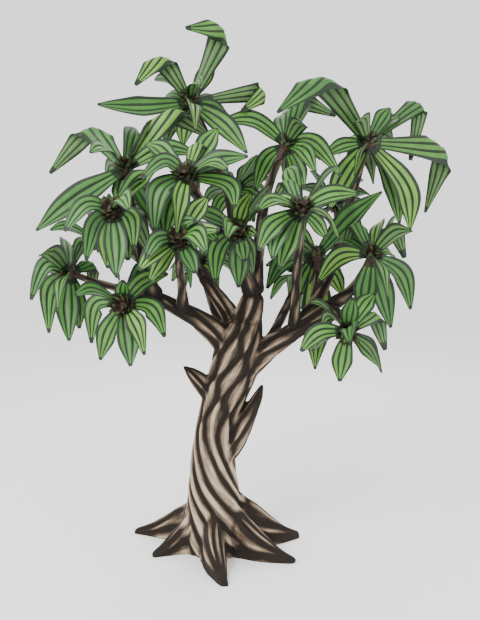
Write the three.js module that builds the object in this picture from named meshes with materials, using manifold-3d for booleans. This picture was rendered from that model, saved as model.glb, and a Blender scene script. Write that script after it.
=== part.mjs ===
// Dragon blood tree: a whole young tree, rooted, with a twisted trunk on six surface roots, boughs that
// fork into limbs, and one rosette of broad strap leaves at each limb's end.
// Millimetres, +Z up, +X to the right and +Y to the back. The origin is in the flat cut under the trunk.

import * as THREE from "three";
import { mergeVertices } from "three/addons/utils/BufferGeometryUtils.js";
import Module from "manifold-3d";

const wasm = await Module();
wasm.setup();

// Driving dimensions of the trunk
const TRUNK_SIDES = 24;
const TRUNK_STRANDS = 6;
const STRAND_RELIEF = 0.085;
const STRAND_TURN_LOW = -165;
const STRAND_TURN_HIGH = 70;
const TWIST_MIDDLE = 1150;
const TRUNK_STATIONS = [
  { height: 0, x: 0, radius: 265 },
  { height: 60, x: 0, radius: 262 },
  { height: 160, x: -4, radius: 242 },
  { height: 270, x: -8, radius: 222 },
  { height: 380, x: -12, radius: 205 },
  { height: 520, x: -18, radius: 186 },
  { height: 660, x: -20, radius: 172 },
  { height: 800, x: -14, radius: 162 },
  { height: 940, x: 2, radius: 157 },
  { height: 1070, x: 30, radius: 157 },
  { height: 1200, x: 72, radius: 170 },
  { height: 1330, x: 116, radius: 184 },
  { height: 1450, x: 150, radius: 188 },
  { height: 1570, x: 172, radius: 182 },
  { height: 1680, x: 195, radius: 164 },
  { height: 1780, x: 222, radius: 136 },
];

// Driving dimensions of the surface roots: bearing in degrees from +X, seen from above, reach, and how high
// each stands against the profile
const ROOTS = [
  { bearing: 14, reach: 705, height: 1.08 },
  { bearing: 88, reach: 600, height: 0.95 },
  { bearing: 160, reach: 730, height: 0.86 },
  { bearing: 204, reach: 540, height: 0.84 },
  { bearing: 277, reach: 725, height: 0.9 },
  { bearing: 333, reach: 700, height: 0.92 },
];
const ROOT_SIDES = 8;
const ROOT_SWEEP = -14;
const ROOT_TIP_HEIGHT = 12;
const ROOT_PROFILE = [
  { out: 0.12, top: 460, half: 105 },
  { out: 0.30, top: 400, half: 104 },
  { out: 0.47, top: 305, half: 94 },
  { out: 0.62, top: 205, half: 80 },
  { out: 0.78, top: 118, half: 64 },
  { out: 0.90, top: 74, half: 50 },
  { out: 0.975, top: 50, half: 34 },
];

// Driving dimensions of the stubs and boughs: the places they pass through, and their radius at each end
const BOUGHS = [
  {
    name: "stub_left", sides: 10, radii: [92, 15], taper: 0.85,
    path: [[40, 0, 1150], [-55, -5, 1270], [-160, -10, 1375], [-250, -15, 1455]],
  },
  {
    name: "stub_right", sides: 10, radii: [78, 16], taper: 1.3,
    path: [[60, -20, 720], [160, -30, 880], [240, -35, 1040], [310, -35, 1180], [365, -35, 1320]],
  },
  {
    name: "bough_left", sides: 12, radii: [128, 52], taper: 0.6,
    path: [[150, 0, 1560], [20, -10, 1700], [-130, -40, 1820], [-290, -80, 1915], [-450, -140, 2010]],
  },
  {
    name: "bough_right", sides: 12, radii: [128, 52], taper: 0.6,
    path: [[230, 0, 1450], [400, -20, 1590], [570, -40, 1705], [740, -70, 1835], [900, -90, 1955]],
  },
  {
    name: "bough_centre", sides: 12, radii: [138, 84], taper: 1,
    path: [[200, 0, 1640], [240, 0, 1790], [275, 0, 1920], [300, 0, 2040]],
  },
  {
    name: "bough_inner", sides: 10, radii: [84, 46], taper: 0.8,
    path: [[190, 60, 1720], [90, 65, 1880], [-20, 55, 2030], [-110, 40, 2150]],
  },
];
const FORK = [298, 0, 1990];
const LIMB_SIDES = 7;
const LIMB_TAPER = 0.7;
const LIMB_STEP = 150;

// Driving dimensions of the leaves
const HEART_RADIUS = 66;
const HEART_STRETCH = 1.25;
const STEM_LENGTH = 120;
const LEAF_ROOT_DEPTH = 30;
const LEAF_HALF_WIDTH = 36;
const LEAF_WIDTH_SLOPE = 0.082;
const LEAF_ROOT_SHARE = 0.3;
const LEAF_THICKNESS = 12;
const STRAIGHT_STATIONS = [0, 0.3, 0.64];
const ARCHED_STATIONS = [0, 0.22, 0.42, 0.6, 0.8];
const ARCHED_RISE = 0.28;
const LEAF_WIDEST = 0.5;
const LEAF_POINT = 1.8;
const CLEARANCE = 0.3;
const LEAF_GAP = 2;
const FRONT_VIEW = new THREE.Vector3(190, -6400, 2850);
const DEPTH_SHARE = 0.8;
const DEPTH_FRONT = 0.55;
const APEX_SHARE = 0.5;
const DEPTH_TRIES = [0, 0.15, -0.15, 0.3, -0.3, 0.45, -0.45, 0.6, -0.6];
const FACE_FRONT = 0.85;
const CREASE_WIDER = 1.3;
const FILL_FOLD = 0.7;
const GOLDEN_ANGLE = 137.5;

// The rosettes. Each has its heart, the places its limb passes through before the heart, the limb's radii,
// and its leaves as the front shows them: clock angle from straight up, reach, rise of the arch, and how far
// along the arch stands highest. A blade that turns over also has the clock angle of its crease, and how far
// it goes back for each millimetre along the crease. Fill leaves are added towards the back and the front.
const ROSETTES = [
  {
    name: "crown", heart: [-180, 120, 3430], radii: [64, 30], fill: 7,
    path: [FORK, [190, 20, 2250], [150, 50, 2510], [120, 80, 2710], [50, 100, 2890], [-70, 110, 3190]],
    leaves: [
      [-91, 720, 25], [-79, 450, 290, 0.6, -110, -1], [-8, 540, 300, 0.95, -60, -1],
      [107, 350, 260, 1.4, -166, -1],
      [111, 330, 20], [132, 590, 40], [-170, 350, 10],
    ],
  },
  {
    name: "left_upper", heart: [-610, -380, 2930], radii: [50, 28], fill: 7,
    path: [[-415, -135, 1985], [-480, -190, 2130], [-540, -260, 2360], [-580, -340, 2680]],
    leaves: [
      [-97, 570, 320, 0.35, -70, 1], [-124, 790, 25], [72, 650, 250, 0.65, 98, 1], [80, 540, 90, 0.55],
      [-171, 280, 10], [151, 520, 40],
    ],
  },
  {
    name: "mid_left", heart: [-170, -600, 2880], radii: [62, 28], fill: 6,
    path: [FORK, [190, -90, 2250], [90, -200, 2400], [-30, -360, 2610], [-120, -510, 2790]],
    leaves: [
      [-97, 330, 120, 0.4], [-152, 470, 120, 0.36], [-161, 460, 30], [73, 160, 170, 0.8, 90, 1],
      [73, 460, 40], [126, 400, 120, 0.64],
    ],
  },
  {
    name: "mid", heart: [540, 220, 3120], radii: [60, 28], fill: 7,
    path: [FORK, [330, 70, 2330], [370, 150, 2650], [430, 190, 2870]],
    leaves: [
      [65, 470, 240, 0.48, 45, 1], [-74, 580, 110], [121, 530, 120, 0.3], [-147, 450, 60, 0.4],
      [156, 370, 10],
    ],
  },
  {
    name: "right_upper", heart: [1200, 450, 3150], radii: [54, 30], fill: 7,
    path: [[640, -50, 1755], [810, 20, 2030], [960, 170, 2400], [1090, 360, 2820]],
    leaves: [
      [-75, 780, 365, 0.61, -90, -1], [-109, 400, 40], [-133, 260, 10], [-151, 630, 30],
      [154, 800, 120, 0.56], [158, 720, 70], [143, 750, 410, 0.55, 122, 1], [127, 400, 420, 0.36, 80, 1],
    ],
  },
  {
    name: "centre_right", heart: [600, -620, 2660], radii: [44, 26], fill: 5,
    path: [[600, -50, 1745], [600, -200, 2060], [600, -390, 2330], [600, -540, 2530]],
    leaves: [
      [-88, 220, 170, 0.4, -75, 1], [-80, 230, 40], [76, 430, 50], [139, 280, 20], [-136, 420, 60],
      [-152, 410, 60], [-161, 450, 10],
    ],
  },
  {
    name: "left_shoulder", heart: [-650, -760, 2660], radii: [34, 24], fill: 5,
    path: [[-540, -260, 2390], [-590, -450, 2500], [-630, -620, 2590]],
    leaves: [
      [-117, 380, 110, 0.36], [-153, 410, 60, 0.35], [-175, 410, 10], [178, 460, 10], [164, 370, 20],
      [156, 330, 90, 0.3],
    ],
  },
  {
    name: "left_tip", heart: [-1070, -120, 2180], radii: [36, 24], fill: 7,
    path: [[-455, -150, 2030], [-640, -140, 2050], [-770, -130, 2080], [-940, -120, 2130]],
    leaves: [
      [-129, 400, 150, 0.25], [-161, 520, 90, 0.33], [-178, 540, 10], [172, 450, 10],
      [137, 240, 150, 0.3, 100, 1],
    ],
  },
  {
    name: "left_low", heart: [-610, -600, 2010], radii: [34, 24], fill: 6,
    path: [[-390, -120, 1970], [-480, -260, 1970], [-550, -420, 1980]],
    leaves: [
      [3, 190, 10], [-144, 390, 150, 0.3], [-157, 450, 30], [175, 460, 10], [132, 390, 110, 0.4],
      [57, 400, 60],
    ],
  },
  {
    name: "inner_left", heart: [-210, -800, 2470], radii: [44, 22], fill: 4,
    path: [[-240, -70, 1885], [-230, -300, 2120], [-230, -560, 2300]],
    leaves: [
      [-124, 280, 80, 0.4], [-128, 360, 30], [-145, 370, 10], [97, 280, 80], [78, 300, 30], [155, 270, 10],
      [50, 190, 60],
    ],
  },
  {
    name: "inner", heart: [170, -420, 2510], radii: [36, 24], fill: 4,
    path: [[165, 45, 2420], [180, -160, 2450]],
    leaves: [
      [-69, 400, 30], [23, 310, 30], [-159, 430, 80, 0.4], [179, 430, 10], [168, 250, 10], [106, 160, 10],
    ],
  },
  {
    name: "inner_right", heart: [790, 290, 2260], radii: [38, 24], fill: 5,
    path: [[740, -60, 1835], [765, 110, 1990], [785, 220, 2130]],
    leaves: [
      [45, 740, 30], [-125, 490, 120, 0.45], [180, 930, 10], [-159, 350, 30], [146, 400, 30],
    ],
  },
  {
    name: "right", heart: [1140, -250, 2320], radii: [48, 26], fill: 7,
    path: [[870, -88, 1930], [990, -140, 2030], [1080, -200, 2170]],
    leaves: [
      [-99, 230, 220, 0.35, -75, 1], [109, 280, 220, 0.3, 92, 1], [145, 520, 100, 0.47],
      [164, 580, 10], [-173, 500, 10], [-119, 460, 100, 0.45],
    ],
  },
  {
    name: "right_low", heart: [940, -560, 1810], radii: [34, 24], fill: 6,
    path: [[850, -92, 1915], [920, -250, 1890], [940, -420, 1840]],
    leaves: [
      [9, 270, 10], [124, 340, 190, 0.25, 95, 1], [138, 340, 30], [-172, 380, 10], [-115, 380, 80, 0.47],
    ],
  },
  {
    name: "back_left", heart: [-570, 880, 2560], radii: [46, 26], fill: 14,
    path: [[-5, 65, 2010], [-230, 350, 2290], [-430, 640, 2470]], leaves: [],
  },
  {
    name: "back_middle", heart: [150, 980, 2770], radii: [54, 26], fill: 14,
    path: [FORK, [250, 300, 2220], [190, 680, 2510]], leaves: [],
  },
  {
    name: "back_right", heart: [1020, 1080, 2640], radii: [38, 26], fill: 14,
    path: [[925, 130, 2320], [985, 450, 2440], [1010, 800, 2530]], leaves: [],
  },
  {
    name: "back_right_low", heart: [700, 880, 2050], radii: [46, 26], fill: 12,
    path: [[390, 0, 1585], [530, 340, 1790], [640, 660, 1950]], leaves: [],
  },
  {
    name: "back_left_low", heart: [-150, 820, 2170], radii: [46, 26], fill: 13,
    path: [[110, 40, 1630], [-20, 360, 1840], [-100, 640, 2040]], leaves: [],
  },
  {
    name: "back_far_left", heart: [-950, 480, 2360], radii: [34, 24], fill: 12,
    path: [[-538, -250, 2350], [-680, 20, 2340], [-840, 280, 2340]], leaves: [],
  },
];
const FILL_REACH = 500;
const FILL_NARROW = 0.68;
const FILL_RISE = 0.2;
const FILL_TOP = 58;
const FILL_BOTTOM = -62;
const FILL_LEAN = 0.08;
const FILL_WANDER = 40;
const FILL_SHORT = 0.85;
const FILL_LONG = 1.05;
const FILL_SPREAD = 110;
const FILL_FRONT_EVERY = 3;
const SHOWN_SEED = 4211;
const FILL_SEED = 7307;

// Blocks and tolerances of the joins and cuts
const GROUND_SIDE = 4000;
const GROUND_DEPTH = 1000;
const MERGE_DISTANCE = 1e-4;
const SLIVER = 0.1;
const DRAW_STEP = 16807;
const DRAW_LIMIT = 2147483647;

// Materials of the tree
const BARK = new THREE.MeshStandardMaterial({ color: 0x8a7a68, roughness: 0.85, metalness: 0 });
const LEAF_GREEN = new THREE.MeshStandardMaterial({ color: 0x4f7a3a, roughness: 0.55, metalness: 0 });

const UP = new THREE.Vector3(0, 0, 1);
const BACK = new THREE.Vector3(0, 1, 0);
const DEGREE = Math.PI / 180;

// A multiplicative generator: the same seed gives the same draws, each from 0 to 1
function seededDraws(seed) {
  let state = seed;
  return () => {
    state = (state * DRAW_STEP) % DRAW_LIMIT;
    return state / DRAW_LIMIT;
  };
}

function vector(place) {
  return new THREE.Vector3(...place);
}

// The level direction at an angle in degrees from +X, seen from above
function bearingVector(bearing) {
  return new THREE.Vector3(Math.cos(bearing * DEGREE), Math.sin(bearing * DEGREE), 0);
}

// The direction at a clock angle as the front shows it, in degrees from straight up to the right
function clockVector(clock) {
  return new THREE.Vector3(Math.sin(clock * DEGREE), 0, Math.cos(clock * DEGREE));
}

function mix(a, b, share) {
  return a + (b - a) * share;
}

// One closed skin through rings of points, each ring running round the direction of travel. The last ring may
// be a single point.
function loft(rings) {
  const places = [];
  const faces = [];
  const starts = rings.map((ring) => {
    const start = places.length / 3;
    ring.forEach((point) => places.push(point.x, point.y, point.z));
    return start;
  });
  const sides = rings[0].length;
  for (let row = 0; row + 1 < rings.length; row += 1) {
    const here = starts[row];
    const next = starts[row + 1];
    const pointed = rings[row + 1].length === 1;
    for (let side = 0; side < sides; side += 1) {
      const other = (side + 1) % sides;
      if (pointed) {
        faces.push(here + side, here + other, next);
      } else {
        faces.push(here + side, here + other, next + other);
        faces.push(here + side, next + other, next + side);
      }
    }
  }
  for (let side = 1; side + 1 < sides; side += 1) {
    faces.push(starts[0], starts[0] + side + 1, starts[0] + side);
  }
  const last = starts[rings.length - 1];
  for (let side = 1; side + 1 < rings[rings.length - 1].length; side += 1) {
    faces.push(last, last + side, last + side + 1);
  }
  const geometry = new THREE.BufferGeometry();
  geometry.setAttribute("position", new THREE.Float32BufferAttribute(places, 3));
  geometry.setIndex(faces);
  return geometry;
}

function solidOf(geometry) {
  const plain = geometry.clone();
  plain.deleteAttribute("normal");
  plain.deleteAttribute("uv");
  const merged = mergeVertices(plain, MERGE_DISTANCE);
  return new wasm.Manifold(new wasm.Mesh({
    numProp: 3,
    vertProperties: new Float32Array(merged.getAttribute("position").array),
    triVerts: new Uint32Array(merged.getIndex().array),
  }));
}

function geometryOf(solid) {
  const mesh = solid.getMesh();
  const geometry = new THREE.BufferGeometry();
  geometry.setAttribute("position", new THREE.Float32BufferAttribute(mesh.vertProperties, 3));
  geometry.setIndex(Array.from(mesh.triVerts));
  geometry.computeVertexNormals();
  return geometry;
}

// The outer skin of the largest body, so that scraps and sealed pockets go
function largestBody(solid) {
  const bodies = solid.decompose();
  return bodies.reduce((best, body) => (body.volume() > best.volume() ? body : best));
}

function boxesMeet(a, b, gap) {
  return [0, 1, 2].every((axis) => a.min[axis] <= b.max[axis] + gap && b.min[axis] <= a.max[axis] + gap);
}

// How far the trunk's strands have turned at a height: one way up the lower trunk, and back above it
function strandTurn(height) {
  const low = Math.min(height, TWIST_MIDDLE) / TWIST_MIDDLE;
  const high = Math.max(height - TWIST_MIDDLE, 0) / TWIST_MIDDLE;
  return (STRAND_TURN_LOW * low + STRAND_TURN_HIGH * high) * DEGREE;
}

function trunkRing({ height, x, radius }, grow) {
  const ring = [];
  for (let side = 0; side < TRUNK_SIDES; side += 1) {
    const angle = (side / TRUNK_SIDES) * 2 * Math.PI;
    const strand = Math.cos(TRUNK_STRANDS * (angle - strandTurn(height)));
    const distance = radius * (1 + STRAND_RELIEF * strand) + grow;
    ring.push(new THREE.Vector3(x + distance * Math.cos(angle), distance * Math.sin(angle), height));
  }
  return ring;
}

// A ring round a point of a path, across its direction, with its own half width and half height
function ringAcross(centre, direction, half, rise, sides, hint) {
  const across = new THREE.Vector3().crossVectors(hint, direction).normalize();
  const over = new THREE.Vector3().crossVectors(direction, across);
  const ring = [];
  for (let side = 0; side < sides; side += 1) {
    const angle = (side / sides) * 2 * Math.PI;
    ring.push(centre.clone()
      .addScaledVector(across, half * Math.cos(angle))
      .addScaledVector(over, rise * Math.sin(angle)));
  }
  return ring;
}

// A root is a fin that falls from the trunk's flare to a blunt toe, deeper than the ground all along
function rootSolid({ bearing, reach, height }, grow) {
  const rings = ROOT_PROFILE.map(({ out, top, half }) => {
    const direction = bearingVector(bearing + ROOT_SWEEP * (1 - out));
    const centre = direction.clone().multiplyScalar(reach * out);
    return ringAcross(centre, direction, half + grow, top * height + grow, ROOT_SIDES, UP);
  });
  const toe = bearingVector(bearing).multiplyScalar(reach);
  toe.z = ROOT_TIP_HEIGHT;
  rings.push([toe]);
  return solidOf(loft(rings));
}

function trunkSolid(grow) {
  const stem = solidOf(loft(TRUNK_STATIONS.map((station) => trunkRing(station, grow))));
  const whole = ROOTS.reduce((body, root) => body.add(rootSolid(root, grow)), stem);
  const ground = new THREE.BoxGeometry(GROUND_SIDE, GROUND_SIDE, GROUND_DEPTH);
  return largestBody(whole.subtract(solidOf(ground.translate(0, 0, -GROUND_DEPTH / 2))));
}

// The part of a path between two lengths, as one tapering limb with flat ends
function limbSolid(curve, span, radii, sides, taper, grow) {
  const length = curve.getLength();
  const count = Math.max(2, Math.round((span[1] - span[0]) / LIMB_STEP));
  const rings = [];
  for (let step = 0; step <= count; step += 1) {
    const along = mix(span[0], span[1], step / count);
    const share = along / length;
    const radius = mix(radii[0], radii[1], share ** taper) + grow;
    const direction = curve.getTangentAt(share);
    const beyond = grow * (2 * step / count - 1);
    const centre = curve.getPointAt(share).addScaledVector(direction, beyond);
    rings.push(ringAcross(centre, direction, radius, radius, sides, BACK));
  }
  return solidOf(loft(rings));
}

// The middle line of a leaf: from the heart, through its highest place half way, to its tip
function leafLine(heart, apex, tip) {
  const bend = apex.clone().multiplyScalar(8).sub(tip).sub(heart).divideScalar(6);
  return new THREE.CubicBezierCurve3(heart, bend, bend, tip);
}

function leafHalfWidth(reach, share) {
  const most = LEAF_HALF_WIDTH + LEAF_WIDTH_SLOPE * reach;
  if (share < LEAF_WIDEST) {
    return most * mix(LEAF_ROOT_SHARE, 1, Math.sin((share / LEAF_WIDEST) * Math.PI / 2));
  }
  const beyond = (share - LEAF_WIDEST) / (1 - LEAF_WIDEST);
  return most * (1 - beyond ** LEAF_POINT);
}

// A place moved to another depth along the line of sight from the front, so that the front outline stays
function moveInDepth(point, depth) {
  const sight = new THREE.Vector3().subVectors(point, FRONT_VIEW);
  return point.clone().addScaledVector(sight, depth / sight.y);
}

// The part of a vector that is square to a direction, at length one
function squareTo(direction, hint) {
  return hint.clone().addScaledVector(direction, -hint.dot(direction)).normalize();
}

// A plain leaf stands at another depth by a share of its reach. A leaf that turns over leans more or less.
function leafPlaces(leaf, shift) {
  if (!leaf.crease) {
    const depth = shift * leaf.reach;
    return [moveInDepth(leaf.apex, depth * APEX_SHARE), moveInDepth(leaf.tip, depth)];
  }
  const lean = leaf.lean * (1 + shift);
  return [leaf.apex, leaf.tip].map((point) => {
    const along = new THREE.Vector3().subVectors(point, leaf.heart).dot(leaf.crease);
    return moveInDepth(point, lean * along);
  });
}

// The width axis of a leaf that turns over: square to the plane that it bends in
function creaseAxis(leaf, shift, apex, tip, direction) {
  const axis = new THREE.Vector3(leaf.crease.x, -1 / (leaf.lean * (1 + shift)), leaf.crease.z);
  const outward = apex.clone().multiplyScalar(2).sub(tip).sub(leaf.heart);
  const side = new THREE.Vector3().crossVectors(direction, axis).dot(outward);
  return side < 0 ? axis.negate() : axis;
}

// A leaf is a strap with a flat face, a keel under it and a pointed tip. Its root is inside the heart.
function leafSolid(leaf, shift) {
  const [apex, tip] = leafPlaces(leaf, shift);
  const line = leafLine(leaf.heart, apex, tip);
  const root = (HEART_RADIUS - LEAF_ROOT_DEPTH) / (3 * line.v1.distanceTo(leaf.heart));
  const stations = leaf.rise > ARCHED_RISE * leaf.reach ? ARCHED_STATIONS : STRAIGHT_STATIONS;
  const axis = leaf.crease && creaseAxis(leaf, shift, apex, tip, line.getTangent(0.5));
  const wider = leaf.crease ? CREASE_WIDER : 1;
  const rings = stations.map((station) => {
    const share = mix(root, 1, station);
    const direction = line.getTangent(share);
    const across = squareTo(direction, axis || new THREE.Vector3().crossVectors(leaf.face, direction));
    const face = new THREE.Vector3().crossVectors(direction, across);
    const centre = line.getPoint(share);
    const half = leafHalfWidth(leaf.reach, share) * wider;
    return [
      centre.clone().addScaledVector(across, half),
      centre.clone().addScaledVector(across, -half),
      centre.clone().addScaledVector(face, -LEAF_THICKNESS),
    ];
  });
  rings.push([line.getPoint(1)]);
  return solidOf(loft(rings));
}

// The leaves that the front shows
function shownLeaves(rosette, draws) {
  const heart = vector(rosette.heart);
  return rosette.leaves.map(([clock, reach, rise, along = 0.5, turn, lean]) => {
    const angle = clock * DEGREE;
    const side = clock < 0 ? -1 : 1;
    const out = clockVector(clock);
    const over = new THREE.Vector3(-side * Math.cos(angle), 0, side * Math.sin(angle));
    const tip = heart.clone().addScaledVector(out, reach);
    const apex = heart.clone().addScaledVector(out, reach * along).addScaledVector(over, rise);
    const depth = reach * DEPTH_SHARE * (draws() - DEPTH_FRONT);
    if (lean) {
      return { heart, tip, apex, reach, rise, crease: clockVector(turn), lean };
    }
    const face = new THREE.Vector3(0, -FACE_FRONT, 1).normalize();
    const moved = { tip: moveInDepth(tip, depth), apex: moveInDepth(apex, depth * APEX_SHARE) };
    return { heart, ...moved, reach, rise, face };
  });
}

// The fill of a rosette. Where the front shows its leaves, the fill stands to the back and the front, and is
// shorter the more it turns to the side. Elsewhere it goes all round by the golden angle.
function fillLeaves(rosette, draws) {
  const heart = vector(rosette.heart);
  const leaves = [];
  for (let index = 0; index < rosette.fill; index += 1) {
    const wander = draws() - 0.5;
    const facing = index % FILL_FRONT_EVERY === FILL_FRONT_EVERY - 1 ? -90 : 90;
    const shown = rosette.leaves.length > 0;
    const turn = shown ? facing + FILL_SPREAD * wander : GOLDEN_ANGLE * index + FILL_WANDER * wander;
    const climb = mix(FILL_TOP, FILL_BOTTOM, (index + draws()) / rosette.fill) * DEGREE;
    const flat = bearingVector(turn);
    const reach = FILL_REACH * mix(FILL_NARROW, 1, Math.abs(flat.y)) * mix(FILL_SHORT, FILL_LONG, draws());
    const fold = FILL_FOLD * (draws() < 0.5 ? -1 : 1);
    const rise = FILL_RISE * reach * Math.cos(climb);
    const offset = flat.clone().multiplyScalar(Math.cos(climb)).addScaledVector(UP, Math.sin(climb));
    const tip = heart.clone().addScaledVector(offset, reach);
    const apex = heart.clone().addScaledVector(offset, reach / 2).addScaledVector(UP, rise);
    apex.addScaledVector(flat, FILL_LEAN * reach);
    const face = UP.clone().addScaledVector(bearingVector(turn + 90), fold).normalize();
    leaves.push({ heart, tip, apex, reach, rise, face });
  }
  return leaves;
}

// Everything placed so far, so that each new piece can be kept clear of it. The cutter of a limb is the same
// limb, larger all round by the clearance.
const placed = [];

function place(name, solid, cutter) {
  placed.push({ name, solid, cutter, box: solid.boundingBox() });
}

// A solid cut back from all that is placed, as one body
function cutClear(solid) {
  const box = solid.boundingBox();
  const near = placed.filter((other) => boxesMeet(box, other.box, CLEARANCE));
  return largestBody(near.reduce((body, other) => body.subtract(other.cutter), solid));
}

// Whether a leaf stays clear of all but its own rosette
function isClear(solid, owner) {
  const box = solid.boundingBox();
  return placed.every((other) => other.name === owner
    || !boxesMeet(box, other.box, LEAF_GAP)
    || solid.minGap(other.solid, LEAF_GAP) >= LEAF_GAP);
}

// The first form of a leaf that is clear, of a few that stand at different depths, or nothing
function clearLeaf(leaf, owner) {
  for (const shift of DEPTH_TRIES) {
    const solid = leafSolid(leaf, shift);
    if (isClear(solid, owner)) {
      return solid;
    }
  }
  return null;
}

// Trunk, stubs and boughs
place("trunk", trunkSolid(0), trunkSolid(CLEARANCE));
BOUGHS.forEach(({ name, path, radii, sides, taper }) => {
  const curve = new THREE.CatmullRomCurve3(path.map(vector), false, "centripetal");
  const span = [0, curve.getLength()];
  const cutter = limbSolid(curve, span, radii, sides, taper, CLEARANCE);
  place(name, cutClear(limbSolid(curve, span, radii, sides, taper, 0)), cutter);
});

// Limbs, each ending where its rosette's stem begins
const stems = ROSETTES.map(({ name, path, heart, radii }) => {
  const curve = new THREE.CatmullRomCurve3([...path, heart].map(vector), false, "centripetal");
  const length = curve.getLength();
  const end = length - STEM_LENGTH;
  const cutter = limbSolid(curve, [0, end], radii, LIMB_SIDES, LIMB_TAPER, CLEARANCE);
  place(`limb_${name}`, cutClear(limbSolid(curve, [0, end], radii, LIMB_SIDES, LIMB_TAPER, 0)), cutter);
  return limbSolid(curve, [end + CLEARANCE, length], radii, LIMB_SIDES, LIMB_TAPER, 0);
});
const wood = [...placed];

// The heart of each rosette on its stem
const masses = ROSETTES.map(({ name, heart }, index) => {
  const bulb = new THREE.IcosahedronGeometry(HEART_RADIUS, 0).scale(1, 1, HEART_STRETCH).translate(...heart);
  const solid = stems[index].add(solidOf(bulb));
  place(name, solid, solid);
  return { name, solid };
});

// Leaves of all rosettes, fused to their hearts
function growLeaves(leavesOf, seed) {
  ROSETTES.forEach((rosette, index) => {
    leavesOf(rosette, seededDraws(seed + index)).forEach((leaf) => {
      const solid = clearLeaf(leaf, rosette.name);
      if (solid) {
        masses[index].solid = masses[index].solid.add(solid);
        place(rosette.name, solid, solid);
      }
    });
  });
}
growLeaves(shownLeaves, SHOWN_SEED);
growLeaves(fillLeaves, FILL_SEED);

// The tree
const group = new THREE.Group();

function addNode(name, solid, material) {
  const mesh = new THREE.Mesh(geometryOf(solid.asOriginal().simplify(SLIVER)), material);
  mesh.name = name;
  group.add(mesh);
}

wood.forEach(({ name, solid }) => addNode(name, solid, BARK));
masses.forEach(({ name, solid }) => addNode(`rosette_${name}`, largestBody(solid), LEAF_GREEN));

export default group;
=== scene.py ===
"""Dragon blood tree: the looks of the whole plant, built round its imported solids.

Metres, +Z up, +X to the right and +Y to the back, with the origin in the flat cut under the trunk.
Places and sizes in the tables are in millimetres. The leaves grow by the seeded rule that their solids
grew by, and end where those end. The ones that turn over peak where the front shows them.
"""

import logging
import math
from dataclasses import dataclass, field, replace
from enum import Enum

import bpy
import numpy as np
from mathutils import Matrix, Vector, kdtree

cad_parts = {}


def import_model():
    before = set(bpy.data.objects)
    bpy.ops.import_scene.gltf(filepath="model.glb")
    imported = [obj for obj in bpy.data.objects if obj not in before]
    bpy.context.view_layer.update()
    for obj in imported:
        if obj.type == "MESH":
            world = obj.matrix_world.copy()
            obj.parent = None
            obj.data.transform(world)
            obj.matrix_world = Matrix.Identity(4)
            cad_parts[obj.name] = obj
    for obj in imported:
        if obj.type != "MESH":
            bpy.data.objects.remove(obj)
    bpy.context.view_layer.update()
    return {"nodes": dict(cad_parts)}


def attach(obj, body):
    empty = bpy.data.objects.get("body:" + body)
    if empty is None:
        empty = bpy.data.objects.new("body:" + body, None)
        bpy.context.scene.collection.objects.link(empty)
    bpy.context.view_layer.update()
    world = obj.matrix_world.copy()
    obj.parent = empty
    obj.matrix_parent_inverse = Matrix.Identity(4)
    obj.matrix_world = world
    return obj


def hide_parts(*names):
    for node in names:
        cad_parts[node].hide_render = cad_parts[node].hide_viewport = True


LOG = logging.getLogger("dragon_blood_tree")
MM = 0.001
UP = np.array([0.0, 0.0, 1.0])
BACK = np.array([0.0, 1.0, 0.0])
FRONT_VIEW = np.array([190.0, -6400.0, 2850.0]) * MM
FRONT_PLANE = np.array([1.0, 0.0, 1.0])

Place = tuple[float, float, float]
Figure = tuple[float, ...]
Band = tuple[float, float]


@dataclass(frozen=True)
class Station:
    """A level ring of the trunk: its height, how far it stands to the right, and its radius."""

    height: float
    x: float
    radius: float


@dataclass(frozen=True)
class RootPlan:
    """A surface root: its bearing from +X, how far it reaches, and how high it stands."""

    bearing: float
    reach: float
    height: float


@dataclass(frozen=True)
class BoughPlan:
    """A stub or bough: its radius at each end, how it tapers, and the places it passes through."""

    name: str
    radii: tuple[float, float]
    taper: float
    path: list[Place]


@dataclass(frozen=True)
class RosettePlan:
    """A rosette: its heart, its limb, how many fill leaves it has, and the leaves that show in front.

    A leaf that shows has its clock angle, its reach, the rise of its arch and how far along it peaks. One
    that turns over also has the clock angle of its crease, and its lean.
    """

    name: str
    heart: Place
    radii: tuple[float, float]
    fill: int
    path: list[Place]
    leaves: list[Figure] = field(default_factory=list)


TRUNK_STATIONS = [
    Station(0, 0, 265),
    Station(60, 0, 262),
    Station(160, -4, 242),
    Station(270, -8, 222),
    Station(380, -12, 205),
    Station(520, -18, 186),
    Station(660, -20, 172),
    Station(800, -14, 162),
    Station(940, 2, 157),
    Station(1070, 30, 157),
    Station(1200, 72, 170),
    Station(1330, 116, 184),
    Station(1450, 150, 188),
    Station(1570, 172, 182),
    Station(1680, 195, 164),
    Station(1780, 222, 136),
]
ROOTS = [
    RootPlan(14, 705, 1.08),
    RootPlan(88, 600, 0.95),
    RootPlan(160, 730, 0.86),
    RootPlan(204, 540, 0.84),
    RootPlan(277, 725, 0.9),
    RootPlan(333, 700, 0.92),
]
# How far out along a root, and its height and half width there
ROOT_PROFILE = [
    (0.12, 460, 105),
    (0.30, 400, 104),
    (0.47, 305, 94),
    (0.62, 205, 80),
    (0.78, 118, 64),
    (0.90, 74, 50),
    (0.975, 50, 34),
]
ROOT_SWEEP = -14
ROOT_TIP_HEIGHT = 12

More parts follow.
